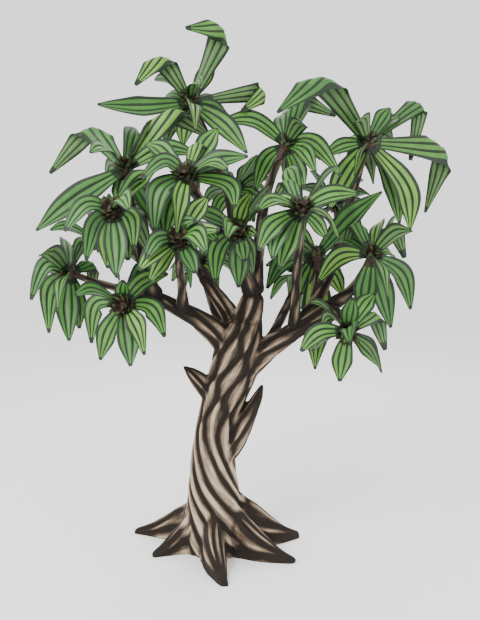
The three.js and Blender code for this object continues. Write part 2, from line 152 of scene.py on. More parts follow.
BOUGHS = [
    BoughPlan("stub_left", (92, 15), 0.85, [
        (40, 0, 1150), (-55, -5, 1270), (-160, -10, 1375), (-250, -15, 1455),
    ]),
    BoughPlan("stub_right", (78, 16), 1.3, [
        (60, -20, 720), (160, -30, 880), (240, -35, 1040), (310, -35, 1180), (365, -35, 1320),
    ]),
    BoughPlan("bough_left", (128, 52), 0.6, [
        (150, 0, 1560), (20, -10, 1700), (-130, -40, 1820), (-290, -80, 1915), (-450, -140, 2010),
    ]),
    BoughPlan("bough_right", (128, 52), 0.6, [
        (230, 0, 1450), (400, -20, 1590), (570, -40, 1705), (740, -70, 1835), (900, -90, 1955),
    ]),
    BoughPlan("bough_centre", (138, 84), 1, [
        (200, 0, 1640), (240, 0, 1790), (275, 0, 1920), (300, 0, 2040),
    ]),
    BoughPlan("bough_inner", (84, 46), 0.8, [
        (190, 60, 1720), (90, 65, 1880), (-20, 55, 2030), (-110, 40, 2150),
    ]),
]
STUB_SWELL = 24
FORK = (298, 0, 1990)
LIMB_TAPER = 0.7
STEM_LENGTH = 120
STEM_OVERLAP = 6

ROSETTES = [
    RosettePlan("crown", (-180, 120, 3430), (64, 30), 7,
        [FORK, (190, 20, 2250), (150, 50, 2510), (120, 80, 2710), (50, 100, 2890), (-70, 110, 3190)], [
            (-91, 720, -30), (-79, 450, 250, 0.6, -110, -1), (-8, 540, 290, 0.85, -60, -1),
            (107, 350, 215, 1.4, -166, -1), (111, 330, 20), (132, 590, 40), (-170, 350, 10),
        ]),
    RosettePlan("left_upper", (-610, -380, 2930), (50, 28), 7,
        [(-415, -135, 1985), (-480, -190, 2130), (-540, -260, 2360), (-580, -340, 2680)], [
            (-97, 570, 275, 0.35, -70, 1), (-124, 790, 25), (72, 650, 250, 0.65, 98, 1),
            (80, 540, 90, 0.55), (-171, 280, 10), (151, 520, 40),
        ]),
    RosettePlan("mid_left", (-170, -600, 2880), (62, 28), 6,
        [FORK, (190, -90, 2250), (90, -200, 2400), (-30, -360, 2610), (-120, -510, 2790)], [
            (-97, 330, 120, 0.4), (-152, 470, 120, 0.36), (-161, 460, 30),
            (73, 160, 170, 0.8, 90, 1), (73, 460, 40), (126, 400, 120, 0.64),
        ]),
    RosettePlan("mid", (540, 220, 3120), (60, 28), 7,
        [FORK, (330, 70, 2330), (370, 150, 2650), (430, 190, 2870)], [
            (65, 470, 240, 0.48, 45, 1), (-74, 580, 110), (121, 530, 120, 0.3), (-147, 450, 60, 0.4),
            (156, 370, 10),
        ]),
    RosettePlan("right_upper", (1200, 450, 3150), (54, 30), 7,
        [(640, -50, 1755), (810, 20, 2030), (960, 170, 2400), (1090, 360, 2820)], [
            (-75, 780, 345, 0.61, -90, -1), (-109, 400, 40), (-133, 260, 10), (-151, 630, 30),
            (154, 800, 120, 0.56), (158, 720, 70), (143, 750, 410, 0.55, 122, 1),
            (127, 400, 450, 0.36, 80, 1),
        ]),
    RosettePlan("centre_right", (600, -620, 2660), (44, 26), 5,
        [(600, -50, 1745), (600, -200, 2060), (600, -390, 2330), (600, -540, 2530)], [
            (-88, 220, 170, 0.4, -75, 1), (-80, 230, 40), (76, 430, 50), (139, 280, 20), (-136, 420, 60),
            (-152, 410, 60), (-161, 450, 10),
        ]),
    RosettePlan("left_shoulder", (-650, -760, 2660), (34, 24), 5,
        [(-540, -260, 2390), (-590, -450, 2500), (-630, -620, 2590)], [
            (-117, 380, 110, 0.36), (-153, 410, 60, 0.35), (-175, 410, 10), (178, 460, 10),
            (164, 370, 20), (156, 330, 90, 0.3),
        ]),
    RosettePlan("left_tip", (-1070, -120, 2180), (36, 24), 7,
        [(-455, -150, 2030), (-640, -140, 2050), (-770, -130, 2080), (-940, -120, 2130)], [
            (-129, 400, 150, 0.25), (-161, 520, 90, 0.33), (-178, 540, 10), (172, 450, 10),
            (137, 240, 150, 0.3, 100, 1),
        ]),
    RosettePlan("left_low", (-610, -600, 2010), (34, 24), 6,
        [(-390, -120, 1970), (-480, -260, 1970), (-550, -420, 1980)], [
            (3, 190, 10), (-144, 390, 150, 0.3), (-157, 450, 30), (175, 460, 10), (132, 390, 110, 0.4),
            (57, 400, 60),
        ]),
    RosettePlan("inner_left", (-210, -800, 2470), (44, 22), 4,
        [(-240, -70, 1885), (-230, -300, 2120), (-230, -560, 2300)], [
            (-124, 280, 80, 0.4), (-128, 360, 30), (-145, 370, 10), (97, 280, 80), (78, 300, 30),
            (155, 270, 10), (50, 190, 60),
        ]),
    RosettePlan("inner", (170, -420, 2510), (36, 24), 4,
        [(165, 45, 2420), (180, -160, 2450)], [
            (-69, 400, 30), (23, 310, 30), (-159, 430, 80, 0.4), (179, 430, 10), (168, 250, 10),
            (106, 160, 10),
        ]),
    RosettePlan("inner_right", (790, 290, 2260), (38, 24), 5,
        [(740, -60, 1835), (765, 110, 1990), (785, 220, 2130)], [
            (45, 740, 30), (-125, 490, 120, 0.45), (180, 930, 10), (-159, 350, 30), (146, 400, 30),
        ]),
    RosettePlan("right", (1140, -250, 2320), (48, 26), 7,
        [(870, -88, 1930), (990, -140, 2030), (1080, -200, 2170)], [
            (-99, 230, 220, 0.35, -75, 1), (109, 280, 220, 0.3, 92, 1), (145, 520, 100, 0.47), (164, 580, 10),
            (-173, 500, 10), (-119, 460, 100, 0.45),
        ]),
    RosettePlan("right_low", (940, -560, 1810), (34, 24), 6,
        [(850, -92, 1915), (920, -250, 1890), (940, -420, 1840)], [
            (9, 270, 10), (124, 340, 190, 0.25, 95, 1), (138, 340, 30), (-172, 380, 10),
            (-115, 380, 80, 0.47),
        ]),
    RosettePlan("back_left", (-570, 880, 2560), (46, 26), 14,
        [(-5, 65, 2010), (-230, 350, 2290), (-430, 640, 2470)]),
    RosettePlan("back_middle", (150, 980, 2770), (54, 26), 14,
        [FORK, (250, 300, 2220), (190, 680, 2510)]),
    RosettePlan("back_right", (1020, 1080, 2640), (38, 26), 14,
        [(925, 130, 2320), (985, 450, 2440), (1010, 800, 2530)]),
    RosettePlan("back_right_low", (700, 880, 2050), (46, 26), 12,
        [(390, 0, 1585), (530, 340, 1790), (640, 660, 1950)]),
    RosettePlan("back_left_low", (-150, 820, 2170), (46, 26), 13,
        [(110, 40, 1630), (-20, 360, 1840), (-100, 640, 2040)]),
    RosettePlan("back_far_left", (-950, 480, 2360), (34, 24), 12,
        [(-538, -250, 2350), (-680, 20, 2340), (-840, 280, 2340)]),
]

# The twist of the trunk's strands: heights in metres, and degrees to the metre there
STRAND_SPIN = [(-0.1, -205), (0.55, -205), (1.1, -30), (1.35, 90), (2, 90)]

# The leaves' rule: sizes in millimetres, angles in degrees, the rest as shares
HEART_RADIUS = 66
HEART_STRETCH = 1.25
LEAF_ROOT_DEPTH = 30
LEAF_HALF_WIDTH = 36
LEAF_WIDTH_SLOPE = 0.082
LEAF_ROOT_SHARE = 0.3
LEAF_WIDEST = 0.5
LEAF_POINT = 1.8
DEPTH_SHARE = 0.8
DEPTH_FRONT = 0.55
APEX_SHARE = 0.5
DEPTH_TRIES = (0, 0.15, -0.15, 0.3, -0.3, 0.45, -0.45, 0.6, -0.6)
FACE_FRONT = 1.25
FOLD_WIDER = 1.22
FOLD_RAISE = 8
FOLD_WIDEST = 0.66
FOLD_ORDER = 4
FOLD_REACH = 1.9
FOLD_NARROW = 0.2
FOLD_BAND = (0.4, 0.62)
SHOWN_WIDER = 1.12
FILL_FOLD = 0.7
GOLDEN_ANGLE = 137.5
FILL_REACH = 500
FILL_NARROW = 0.68
FILL_RISE = 0.2
FILL_TOP = 58
FILL_BOTTOM = -62
FILL_LEAN = 0.08
FILL_WANDER = 40
FILL_SHORT = 0.85
FILL_LONG = 1.05
FILL_SPREAD = 110
FILL_FRONT_EVERY = 3
WAVE_START = 6.28
SHOWN_SEED = 4211
FILL_SEED = 7307
DETAIL_SEED = 1931


def place(values: Place) -> np.ndarray:
    """A place of the tables, in metres."""
    return np.array(values, float) * MM


def mix(a: float, b: float, share: float) -> float:
    """The value at a share of the way from a to b."""
    return a + (b - a) * share


def unit(vectors: np.ndarray) -> np.ndarray:
    """Vectors at length one, in their last axis."""
    return vectors / np.maximum(np.linalg.norm(vectors, axis=-1, keepdims=True), 1e-12)


def clock_vector(clock: float) -> np.ndarray:
    """The direction at a clock angle as the front shows it, in degrees from straight up to the right."""
    return np.array([math.sin(math.radians(clock)), 0.0, math.cos(math.radians(clock))])


def bearing_vector(bearing: float) -> np.ndarray:
    """The level direction at an angle in degrees from +X, seen from above."""
    return np.array([math.cos(math.radians(bearing)), math.sin(math.radians(bearing)), 0.0])


def smooth_step(low: float, high: float, values: np.ndarray) -> np.ndarray:
    """A soft switch from 0 at low to 1 at high."""
    share = np.clip((values - low) / (high - low), 0, 1)
    return share * share * (3 - 2 * share)


class Draws:
    """A multiplicative generator: the same seed gives the same draws, each from 0 to 1."""

    STEP = 16807
    LIMIT = 2147483647

    def __init__(self, seed: int) -> None:
        """Starts at a seed."""
        self.state = seed

    def __call__(self) -> float:
        """The next draw."""
        self.state = (self.state * self.STEP) % self.LIMIT
        return self.state / self.LIMIT


class SmoothPath:
    """A centripetal Catmull-Rom curve through places, read by its own length in metres."""

    STEPS = 40
    LOOK = 0.004

    def __init__(self, places: list[Place]) -> None:
        """Samples the curve.

        Args:
            places: the places that it passes through, in millimetres.
        """
        knots = np.array([place(each) for each in places])
        knots = np.vstack([2 * knots[0] - knots[1], knots, 2 * knots[-1] - knots[-2]])
        shares = (np.arange(self.STEPS) / self.STEPS)[:, None]
        rows = []
        for before, start, end, after in zip(knots, knots[1:], knots[2:], knots[3:]):
            pairs = ((before, start), (start, end), (end, after))
            gaps = [math.sqrt(np.linalg.norm(b - a)) for a, b in pairs]
            leave = ((start - before) / gaps[0] - (end - before) / (gaps[0] + gaps[1])
                     + (end - start) / gaps[1]) * gaps[1]
            arrive = ((end - start) / gaps[1] - (after - start) / (gaps[1] + gaps[2])
                      + (after - end) / gaps[2]) * gaps[1]
            rows.append(start + leave * shares + (3 * (end - start) - 2 * leave - arrive) * shares**2
                        + (2 * (start - end) + leave + arrive) * shares**3)
        self.points = np.vstack([*rows, knots[-2:-1]])
        steps = np.linalg.norm(np.diff(self.points, axis=0), axis=1)
        self.marks = np.concatenate([[0.0], np.cumsum(steps)])

    @property
    def length(self) -> float:
        """The length of the curve."""
        return float(self.marks[-1])

    def at(self, lengths: np.ndarray) -> np.ndarray:
        """The points at some lengths along the curve."""
        return np.column_stack([np.interp(lengths, self.marks, self.points[:, axis]) for axis in range(3)])

    def directions(self, lengths: np.ndarray) -> np.ndarray:
        """The directions of travel at some lengths along the curve."""
        ahead = self.at(np.minimum(lengths + self.LOOK, self.length))
        return unit(ahead - self.at(np.maximum(lengths - self.LOOK, 0)))

    def rings(self, lengths: np.ndarray, around: np.ndarray, radii: np.ndarray) -> np.ndarray:
        """Rings of points round the curve.

        Args:
            lengths: the rings' lengths along the curve.
            around: the points' angles, in radians, by ring and by point.
            radii: the points' distances from the curve, by ring and by point.

        Returns:
            The points, by ring, by point, by axis.
        """
        across, over = carried_axes(self.directions(lengths))
        out = across[:, None] * np.cos(around)[..., None] + over[:, None] * np.sin(around)[..., None]
        return self.at(lengths)[:, None] + out * radii[..., None]


def near_tree(points: np.ndarray) -> kdtree.KDTree:
    """A finder of the nearest among some points.

    Args:
        points: the points, one row each.

    Returns:
        The finder.
    """
    tree = kdtree.KDTree(len(points))
    for index, point in enumerate(points):
        tree.insert(point, index)
    tree.balance()
    return tree


def carried_axes(directions: np.ndarray) -> tuple[np.ndarray, np.ndarray]:
    """Two axes across a path at each of its points, which bend with it and don't spin about it.

    Args:
        directions: the directions of travel, one row each.

    Returns:
        The axes across and over the path, one row each.
    """
    across = [unit(np.cross(BACK, directions[0]))]
    for direction in directions[1:]:
        across.append(unit(across[-1] - direction * (across[-1] @ direction)))
    sides = np.array(across)
    return sides, np.cross(directions, sides)


def select_only(*pieces: bpy.types.Object) -> None:
    """Selects some pieces and nothing else.

    Args:
        pieces: the pieces, of which the first becomes the active one.
    """
    bpy.ops.object.select_all(action="DESELECT")
    for piece in pieces:
        piece.select_set(True)
    bpy.context.view_layer.objects.active = pieces[0]


def apply_modifier(piece: bpy.types.Object, kind: str, settings: dict[str, object]) -> None:
    """Gives a piece a modifier and applies it.

    Args:
        piece: the piece.
        kind: the modifier's type.
        settings: the modifier's settings by name.
    """
    select_only(piece)
    bpy.ops.object.modifier_add(type=kind)
    modifier = piece.modifiers[-1]
    for name, value in settings.items():
        setattr(modifier, name, value)
    bpy.ops.object.modifier_apply(modifier=modifier.name)


def draw_out(sides: int, tilt: float, centres: np.ndarray, sizes: np.ndarray) -> bpy.types.Object:
    """A filled circle, drawn out ring by ring through some centres, each ring with its own size.

    Args:
        sides: how many sides the circle has.
        tilt: how far the circle is tipped about Y, in radians.
        centres: the rings' centres, one row each.
        sizes: the rings' sizes along each axis, one row each.

    Returns:
        The closed shape.
    """
    bpy.ops.object.select_all(action="DESELECT")
    bpy.ops.mesh.primitive_circle_add(
        vertices=sides, radius=1, fill_type="NGON", location=centres[0], rotation=(0, tilt, 0))
    made = bpy.context.object
    bpy.ops.object.transform_apply(location=True, rotation=True, scale=True)
    bpy.ops.object.mode_set(mode="EDIT")
    bpy.ops.mesh.select_all(action="SELECT")
    bpy.ops.transform.resize(value=sizes[0], center_override=centres[0])
    for move, share, centre in zip(np.diff(centres, axis=0), sizes[1:] / sizes[:-1], centres[1:]):
        bpy.ops.mesh.extrude_region_move(TRANSFORM_OT_translate={"value": tuple(move)})
        bpy.ops.transform.resize(value=share, center_override=centre)
    bpy.ops.mesh.select_all(action="SELECT")
    bpy.ops.mesh.normals_make_consistent(inside=False)
    bpy.ops.object.mode_set(mode="OBJECT")
    return made


def triangles_of(piece: bpy.types.Object) -> int:
    """How many triangles a piece has."""
    return sum(len(polygon.vertices) - 2 for polygon in piece.data.polygons)


def points_of(piece: bpy.types.Object, key: str = "co") -> np.ndarray:
    """A vector of each vertex of a piece.

    Args:
        piece: the piece.
        key: which vector: "co" for the place, or "normal".

    Returns:
        The vectors, one row each.
    """
    flat = np.zeros(len(piece.data.vertices) * 3, np.float32)
    piece.data.vertices.foreach_get(key, flat)
    return flat.reshape(-1, 3).astype(float)


def add_number(piece: bpy.types.Object, name: str, values: np.ndarray) -> None:
    """Writes a number on each vertex of a piece."""
    attribute = piece.data.attributes.new(name, "FLOAT", "POINT")
    attribute.data.foreach_set("value", values.astype(np.float32))


def add_vector(piece: bpy.types.Object, name: str, values: np.ndarray) -> None:
    """Writes a vector on each vertex of a piece."""
    attribute = piece.data.attributes.new(name, "FLOAT_VECTOR", "POINT")
    attribute.data.foreach_set("vector", values.astype(np.float32).ravel())


class Value:
    """A socket of a shader, so that sums on it are written as an expression."""

    def __init__(self, tree: "ShaderTree", socket: bpy.types.NodeSocket) -> None:
        """Wraps a socket."""
        self.tree = tree
        self.socket = socket

    def _sum(self, operation: str, first: object, second: object) -> "Value":
        """One Math node on two values."""
        return self.tree.node("ShaderNodeMath", {"operation": operation}, {0: first, 1: second})

    def __add__(self, other: object) -> "Value":
        """This plus another."""
        return self._sum("ADD", self, other)

    def __radd__(self, other: object) -> "Value":
        """Another plus this."""
        return self._sum("ADD", other, self)

    def __sub__(self, other: object) -> "Value":
        """This less another."""
        return self._sum("SUBTRACT", self, other)

    def __rsub__(self, other: object) -> "Value":
        """Another less this."""
        return self._sum("SUBTRACT", other, self)

    def __mul__(self, other: object) -> "Value":
        """This times another."""
        return self._sum("MULTIPLY", self, other)

    def __rmul__(self, other: object) -> "Value":
        """Another times this."""
        return self._sum("MULTIPLY", other, self)


class ShaderTree:
    """A material's nodes, made by one method."""

    def __init__(self, name: str) -> None:
        """Starts an empty material.

        Args:
            name: the material's name.
        """
        self.material = bpy.data.materials.new(name)
        self.material.use_nodes = True
        self.nodes = self.material.node_tree.nodes
        self.nodes.clear()

    def node(self, kind: str, settings: dict[str, object], inputs: dict[object, object],
             output: object = 0) -> Value:
        """Adds a node.

        Args:
            kind: the node's type.
            settings: its own settings, set first; "stops" are a ramp's places and colours.
            inputs: the values or links of its sockets, by number, name or identifier.
            output: the number or identifier of the socket that is wanted from it.

        Returns:
            The wanted socket.
        """
        made = self.nodes.new(kind)
        for name, value in settings.items():
            if name == "stops":
                self._set_stops(made.color_ramp, value)
            else:
                setattr(made, name, value)
        for key, value in inputs.items():
            socket = self._find(made.inputs, key)
            if isinstance(value, Value):
                self.material.node_tree.links.new(value.socket, socket)
            else:
                socket.default_value = value
        return Value(self, self._find(made.outputs, output)) if made.outputs else None

    def _find(self, sockets: object, key: object) -> bpy.types.NodeSocket:
        """One of a node's sockets.

        Args:
            sockets: the node's inputs or outputs.
            key: the socket's number, identifier or name.

        Returns:
            The socket.
        """
        if isinstance(key, int):
            return sockets[key]
        return next((each for each in sockets if each.identifier == key), None) or sockets[key]

    def _set_stops(self, ramp: bpy.types.ColorRamp, stops: list[tuple[float, Figure]]) -> None:
        """Gives a ramp its stops.

        Args:
            ramp: the ramp, which starts with two.
            stops: the place and the colour of each.
        """
        while len(ramp.elements) < len(stops):
            ramp.elements.new(1.0)
        for element, (position, colour) in zip(ramp.elements, stops):
            element.position = position
            element.color = colour

    def attribute(self, name: str, output: str) -> Value:
        """What a mesh attribute says: its Fac or its Vector."""
        return self.node("ShaderNodeAttribute", {"attribute_name": name}, {}, output)

    def place(self) -> Value:
        """The place on the piece, in metres."""
        return self.node("ShaderNodeTexCoord", {}, {}, "Object")

    def noise(self, where: Value, scale: float, detail: float, roughness: float = 0.55) -> Value:
        """Noise from 0 to 1 at a scale."""
        inputs = {"Vector": where, "Scale": scale, "Detail": detail, "Roughness": roughness}
        return self.node("ShaderNodeTexNoise", {}, inputs, "Fac")

    def stretch(self, where: Value, scale: Place) -> Value:
        """A place, stretched along each axis."""
        return self.node("ShaderNodeVectorMath", {"operation": "MULTIPLY"}, {0: where, 1: scale})

    def ramp(self, amount: Value, stops: list[tuple[float, Figure]]) -> Value:
        """A colour that follows an amount."""
        return self.node("ShaderNodeValToRGB", {"stops": stops}, {"Fac": amount}, "Color")

    def blend(self, share: object, first: object, second: object, way: str = "MIX") -> Value:
        """Two colours mixed."""
        inputs = {"Factor_Float": share, "A_Color": first, "B_Color": second}
        return self.node("ShaderNodeMix", {"data_type": "RGBA", "blend_type": way}, inputs, "Result_Color")

    def range(self, amount: Value, low: float, high: float, to_low: float, to_high: float) -> Value:
        """A number brought from one range to another, and kept in it."""
        inputs = {"Value": amount, "From Min": low, "From Max": high, "To Min": to_low, "To Max": to_high}
        return self.node("ShaderNodeMapRange", {}, inputs)

    def finish(self, inputs: dict[str, object], height: Value, strength: float, distance: float) -> None:
        """Closes the material with a surface and its bump.

        Args:
            inputs: the surface's sockets.
            height: the height of the bump.
            strength: the bump's strength.
            distance: how high the bump stands, in metres.
        """
        bump = self.node("ShaderNodeBump", {}, {"Strength": strength, "Distance": distance, "Height": height})
        surface = self.node("ShaderNodeBsdfPrincipled", {}, {**inputs, "Normal": bump})
        self.node("ShaderNodeOutputMaterial", {}, {"Surface": surface})


@dataclass(frozen=True)
class BarkFinish:
    """Bark: pale weathered ridges; grooves between them darkened to near black, partly darker bark and partly
    painted shade; and a fibre that runs with the wood.
    """

    name: str
    ridge: Figure
    # flank and groove colours: darker with the depth of the relief, partly darker bark and partly painted
    # shade
    flank_shade: Figure
    groove: Figure
    patch: Figure
    groove_from: float
    groove_to: float
    fibre: float = 34.0
    fibre_stretch: Place = (1.0, 1.0, 0.12)
    flakes: float = 11.0
    flake_stretch: Place = (1.0, 1.0, 0.5)
    scars: float = 46.0
    scar_stretch: Place = (0.25, 0.25, 1.0)
    clouds: float = 3.2
    fibre_relief: float = 0.85
    flake_relief: float = 0.4
    flank_at: float = 0.55
    patch_band: Band = (0.48, 0.7)
    patch_share: float = 0.55
    streak: Figure = (0.45, 0.42, 0.39, 1)
    ring: Figure = (0.7, 0.68, 0.66, 1)
    clear: Figure = (1, 1, 1, 1)
    roughness: float = 0.86
    bump: float = 0.004

    def material(self) -> bpy.types.Material:
        """The finish as a material that reads the attributes ridge and grain.

        Returns:
            The material.
        """
        tree = ShaderTree(self.name)
        grain = tree.attribute("grain", "Vector")
        ridge = tree.attribute("ridge", "Fac")
        fibre = tree.noise(tree.stretch(grain, self.fibre_stretch), self.fibre, 5.0, 0.6)
        flakes = tree.noise(tree.stretch(grain, self.flake_stretch), self.flakes, 3.0)
        scars = tree.noise(tree.stretch(grain, self.scar_stretch), self.scars, 2.0)
        cloud = tree.noise(tree.place(), self.clouds, 2.0)
        height = ridge + (fibre - 0.5) * self.fibre_relief + (flakes - 0.5) * self.flake_relief
        middle = mix(self.groove_from, self.groove_to, self.flank_at)
        # The colour follows the height of the relief, from the ridge colour over the flanks to near black in
        # the grooves: that dark is partly darker bark and partly painted shade.
        stops = [(self.groove_from, self.groove), (middle, self.flank_shade), (self.groove_to, self.ridge)]
        wood = tree.ramp(height, stops)
        patches = tree.range(cloud, *self.patch_band, 0.0, self.patch_share)
        dusted = tree.blend(patches, wood, self.patch, "MULTIPLY")
        streaks = tree.ramp(fibre, [(0.36, self.streak), (0.6, self.clear)])
        ringed = tree.ramp(scars, [(0.34, self.ring), (0.46, self.clear)])
        colour = tree.blend(0.7, dusted, streaks, "MULTIPLY")
        tree.finish({
            "Base Color": tree.blend(0.45, colour, ringed, "MULTIPLY"),
            "Roughness": tree.range(ridge, 0.2, 0.9, 0.95, self.roughness),
            "Specular IOR Level": 0.3,
        }, fibre * 0.7 + scars * 0.4 + flakes * 0.6, 0.75, self.bump)
        return tree.material


@dataclass(frozen=True)
class LeafFinish:
    """One colour of leaf: soft clouds of it, and fine veins that run the length of the blade."""

    name: str
    colour: Figure
    shade: Figure
    roughness: float = 0.5
    coat: float = 0.06
    coat_roughness: float = 0.35
    veins: float = 0.3
    vein_scale: float = 130.0
    vein_stretch: Place = (1.0, 0.02, 0.0)
    clouds: float = 9.0
    cloud_share: float = 0.65
    contrast: Band = (0.36, 0.64)
    shine: float = 0.35

    def material(self) -> bpy.types.Material:
        """The finish as a material that reads the leaf's own map.

        Returns:
            The material.
        """
        tree = ShaderTree(self.name)
        along = tree.node("ShaderNodeUVMap", {"uv_map": "blade"}, {})
        veins = tree.noise(tree.stretch(along, self.vein_stretch), self.vein_scale, 2.0)
        cloud = tree.noise(tree.place(), self.clouds, 3.0)
        tint = cloud * self.cloud_share + veins * (1 - self.cloud_share)
        share = tree.range(tint, *self.contrast, 0.0, 1.0)
        tree.finish({
            "Base Color": tree.blend(share, self.shade, self.colour),
            "Roughness": tree.range(veins, 0.3, 0.7, self.roughness - 0.05, self.roughness + 0.1),
            "Specular IOR Level": self.shine,
            "Coat Weight": self.coat,
            "Coat Roughness": self.coat_roughness,
        }, veins, self.veins, 0.0012)
        return tree.material


@dataclass(frozen=True)
class FloorFinish:
    """The pale floor, barely uneven."""

    name: str = "pale_floor"
    colour: Figure = (0.97, 0.97, 0.965, 1)
    roughness: float = 0.9
    speckle: float = 40.0

    def material(self) -> bpy.types.Material:
        """The finish as a material.

        Returns:
            The material.
        """
        tree = ShaderTree(self.name)
        speckle = tree.noise(tree.place(), self.speckle, 2.0)
        inputs = {"Base Color": self.colour, "Roughness": self.roughness, "Specular IOR Level": 0.1}
        tree.finish(inputs, speckle, 0.05, 0.001)
        return tree.material


# In each bark the second colour, on the flanks, and the third, near black in the grooves, are partly darker
# bark and partly painted shade.
TRUNK_BARK = BarkFinish(
    "trunk_bark", (0.5, 0.4, 0.29, 1), (0.17, 0.12, 0.08, 1), (0.02, 0.014, 0.01, 1),
    (0.72, 0.74, 0.7, 1), 0.44, 0.92,
)
LIMB_BARK = BarkFinish(
    "limb_bark", (0.21, 0.155, 0.108, 1), (0.062, 0.045, 0.03, 1), (0.014, 0.011, 0.008, 1),
    (0.7, 0.72, 0.68, 1), 0.4, 1.05, fibre=46.0, bump=0.003,
)


class LeafPart(Enum):
    """The parts of a leaf that have a colour of their own, in the order of a leaf piece's materials."""

    BLADE_DEEP = 0
    BLADE_MID = 1
    BLADE_FRESH = 2
    LINE = 3
    UNDER = 4


LEAF_FINISHES = {
    LeafPart.BLADE_DEEP: LeafFinish("blade_deep", (0.055, 0.19, 0.026, 1), (0.03, 0.115, 0.02, 1)),
    LeafPart.BLADE_MID: LeafFinish("blade_mid", (0.09, 0.26, 0.03, 1), (0.05, 0.165, 0.025, 1)),
    LeafPart.BLADE_FRESH: LeafFinish("blade_fresh", (0.15, 0.33, 0.038, 1), (0.09, 0.23, 0.032, 1)),
    LeafPart.LINE: LeafFinish("leaf_line", (0.01, 0.028, 0.009, 1), (0.006, 0.016, 0.006, 1)),
    LeafPart.UNDER: LeafFinish("leaf_under", (0.095, 0.2, 0.05, 1), (0.06, 0.14, 0.038, 1), 0.55, 0.0),
}
SHEATH_BASE = LeafFinish("sheath_base", (0.055, 0.024, 0.015, 1), (0.018, 0.009, 0.007, 1), 0.6, 0.0)
SHEATH_TIP = LeafFinish("sheath_tip", (0.06, 0.1, 0.03, 1), (0.026, 0.046, 0.016, 1), 0.55, 0.0)


@dataclass(frozen=True)
class Strands:
    """Ridges that run along the wood. Each swells and narrows in turn, so that they stand as lenses.

    They wander in waves, each given by its size, its pace along the wood, and its pace round it.
    """

    count: int
    swell: float
    depth: float
    sharpness: float = 1.8
    wander: tuple[Figure, ...] = ()
    pinch: float = 0.28

    def wandered(self, angle: np.ndarray, along: np.ndarray) -> np.ndarray:
        """The angles with the wander added."""
        return angle + sum(size * np.sin(pace * along + turns * angle) for size, pace, turns in self.wander)

    def heights(self, angle: np.ndarray, phase: np.ndarray, calm: np.ndarray | float = 1.0) -> np.ndarray:
        """How high the bark stands, from 0 in a groove to 1 on a ridge.

        Args:
            angle: the angles round the wood, in radians, turned with the strands.
            phase: how far each place is in its run of lenses, in radians.
            calm: the share of the swell that each place keeps.

        Returns:
            The heights.
        """
        turned = angle / (2 * math.pi) * self.count
        low = np.floor(turned)
        own = 0.5 * (1 + self.swell * calm * np.cos(phase + math.pi * low))
        beyond = turned - low > own
        off = np.where(beyond, low + 1 - turned, turned - low)
        own = np.where(beyond, 1 - own, own)
        crown = 1 - np.clip(off / np.maximum(own, 1e-6), 0, 1) ** self.sharpness
        return crown * np.minimum(own / self.pinch, 1)


@dataclass
class Reading:
    """What one part of the wood says of places on the skin."""

    gap: np.ndarray
    ridge: np.ndarray
    depth: float
    grain: np.ndarray


def grain_of(angle: np.ndarray, along: np.ndarray, radius: float) -> np.ndarray:
    """A place in the wood's own grain: round the wood in two numbers, and along it in the third."""
    return np.column_stack([np.cos(angle) * radius, np.sin(angle) * radius, along])


@dataclass
class Trunk:
    """The trunk: one stem from its flat cut to the fork, with strands that twist one way and back."""

    stations: list[Station]
    strands: Strands = Strands(10, 0.62, 0.022, wander=((0.05, 6.0, 2), (0.03, 15.0, 0)))
    sides: int = 48
    step: float = 40.0
    low_lens: float = 0.78
    high_lens: float = 2.3
    lens_turn: float = 1000.0
    lens_skew: float = 0.5
    lens_band: Band = (0.75, 1.15)
    low_swell: float = 0.3
    high_sink: float = 0.16
    flare_band: Band = (0.3, 0.6)
    flare_hold: float = 0.75
    fade_band: Band = (0.03, 0.085)
    grain: float = 0.17

    def outline(self, heights: np.ndarray) -> tuple[np.ndarray, np.ndarray]:
        """How far the trunk stands to the right, and its radius, at some heights.

        Args:
            heights: the heights, in metres.

        Returns:
            The offsets and the radii, in metres.
        """
        known = [each.height * MM for each in self.stations]
        offsets = np.interp(heights, known, [each.x * MM for each in self.stations])
        return offsets, np.interp(heights, known, [each.radius * MM for each in self.stations])

    def build(self) -> bpy.types.Object:
        """The plain stem: a level circle, drawn up and scaled to the outline.

        Returns:
            The stem.
        """
        heights = np.arange(-self.step, self.stations[-1].height + self.step, self.step) * MM
        offsets, radii = self.outline(heights)
        centres = np.column_stack([offsets, np.zeros_like(heights), heights])
        return draw_out(self.sides, 0, centres, np.column_stack([radii, radii, np.ones_like(radii)]))

    def strand_turn(self, heights: np.ndarray) -> np.ndarray:
        """How far the strands have turned at some heights.

        Args:
            heights: the heights, in metres.

        Returns:
            The turns, in radians.
        """
        known = np.linspace(0, STRAND_SPIN[-1][0], 201)
        spins = np.interp(known, [each[0] for each in STRAND_SPIN], [each[1] for each in STRAND_SPIN])
        turns = np.concatenate([[0.0], np.cumsum((spins[1:] + spins[:-1]) / 2 * np.diff(known))])
        return np.radians(np.interp(heights, known, turns))

    def read(self, points: np.ndarray) -> Reading:
        """What the trunk says of places on the skin.

        Args:
            points: the places, one row each.

        Returns:
            The reading.
        """
        height = points[:, 2]
        offsets, radii = self.outline(height)
        x, y = points[:, 0] - offsets, points[:, 1]
        angle = np.arctan2(y, x) - self.strand_turn(height)
        top = self.stations[-1].height * MM
        lenses = [0, self.low_lens, self.low_lens + self.high_lens]
        phase = 2 * math.pi * np.interp(height, [0, self.lens_turn * MM, top], lenses)
        high = smooth_step(*self.lens_band, height)
        ridge = self.strands.heights(
            self.strands.wandered(angle, height), phase + self.lens_skew * np.sin(angle * 2),
            mix(self.low_swell, 1.0, high))
        ridge -= self.high_sink * high
        beyond = np.hypot(x, y) - radii
        ridge *= 1 - smooth_step(*self.fade_band, beyond)
        low = 1 - smooth_step(*self.flare_band, height)
        gap = beyond * (1 - self.flare_hold * low) + np.maximum(height - top, 0)
        return Reading(gap, ridge, self.strands.depth, grain_of(angle, height, self.grain))


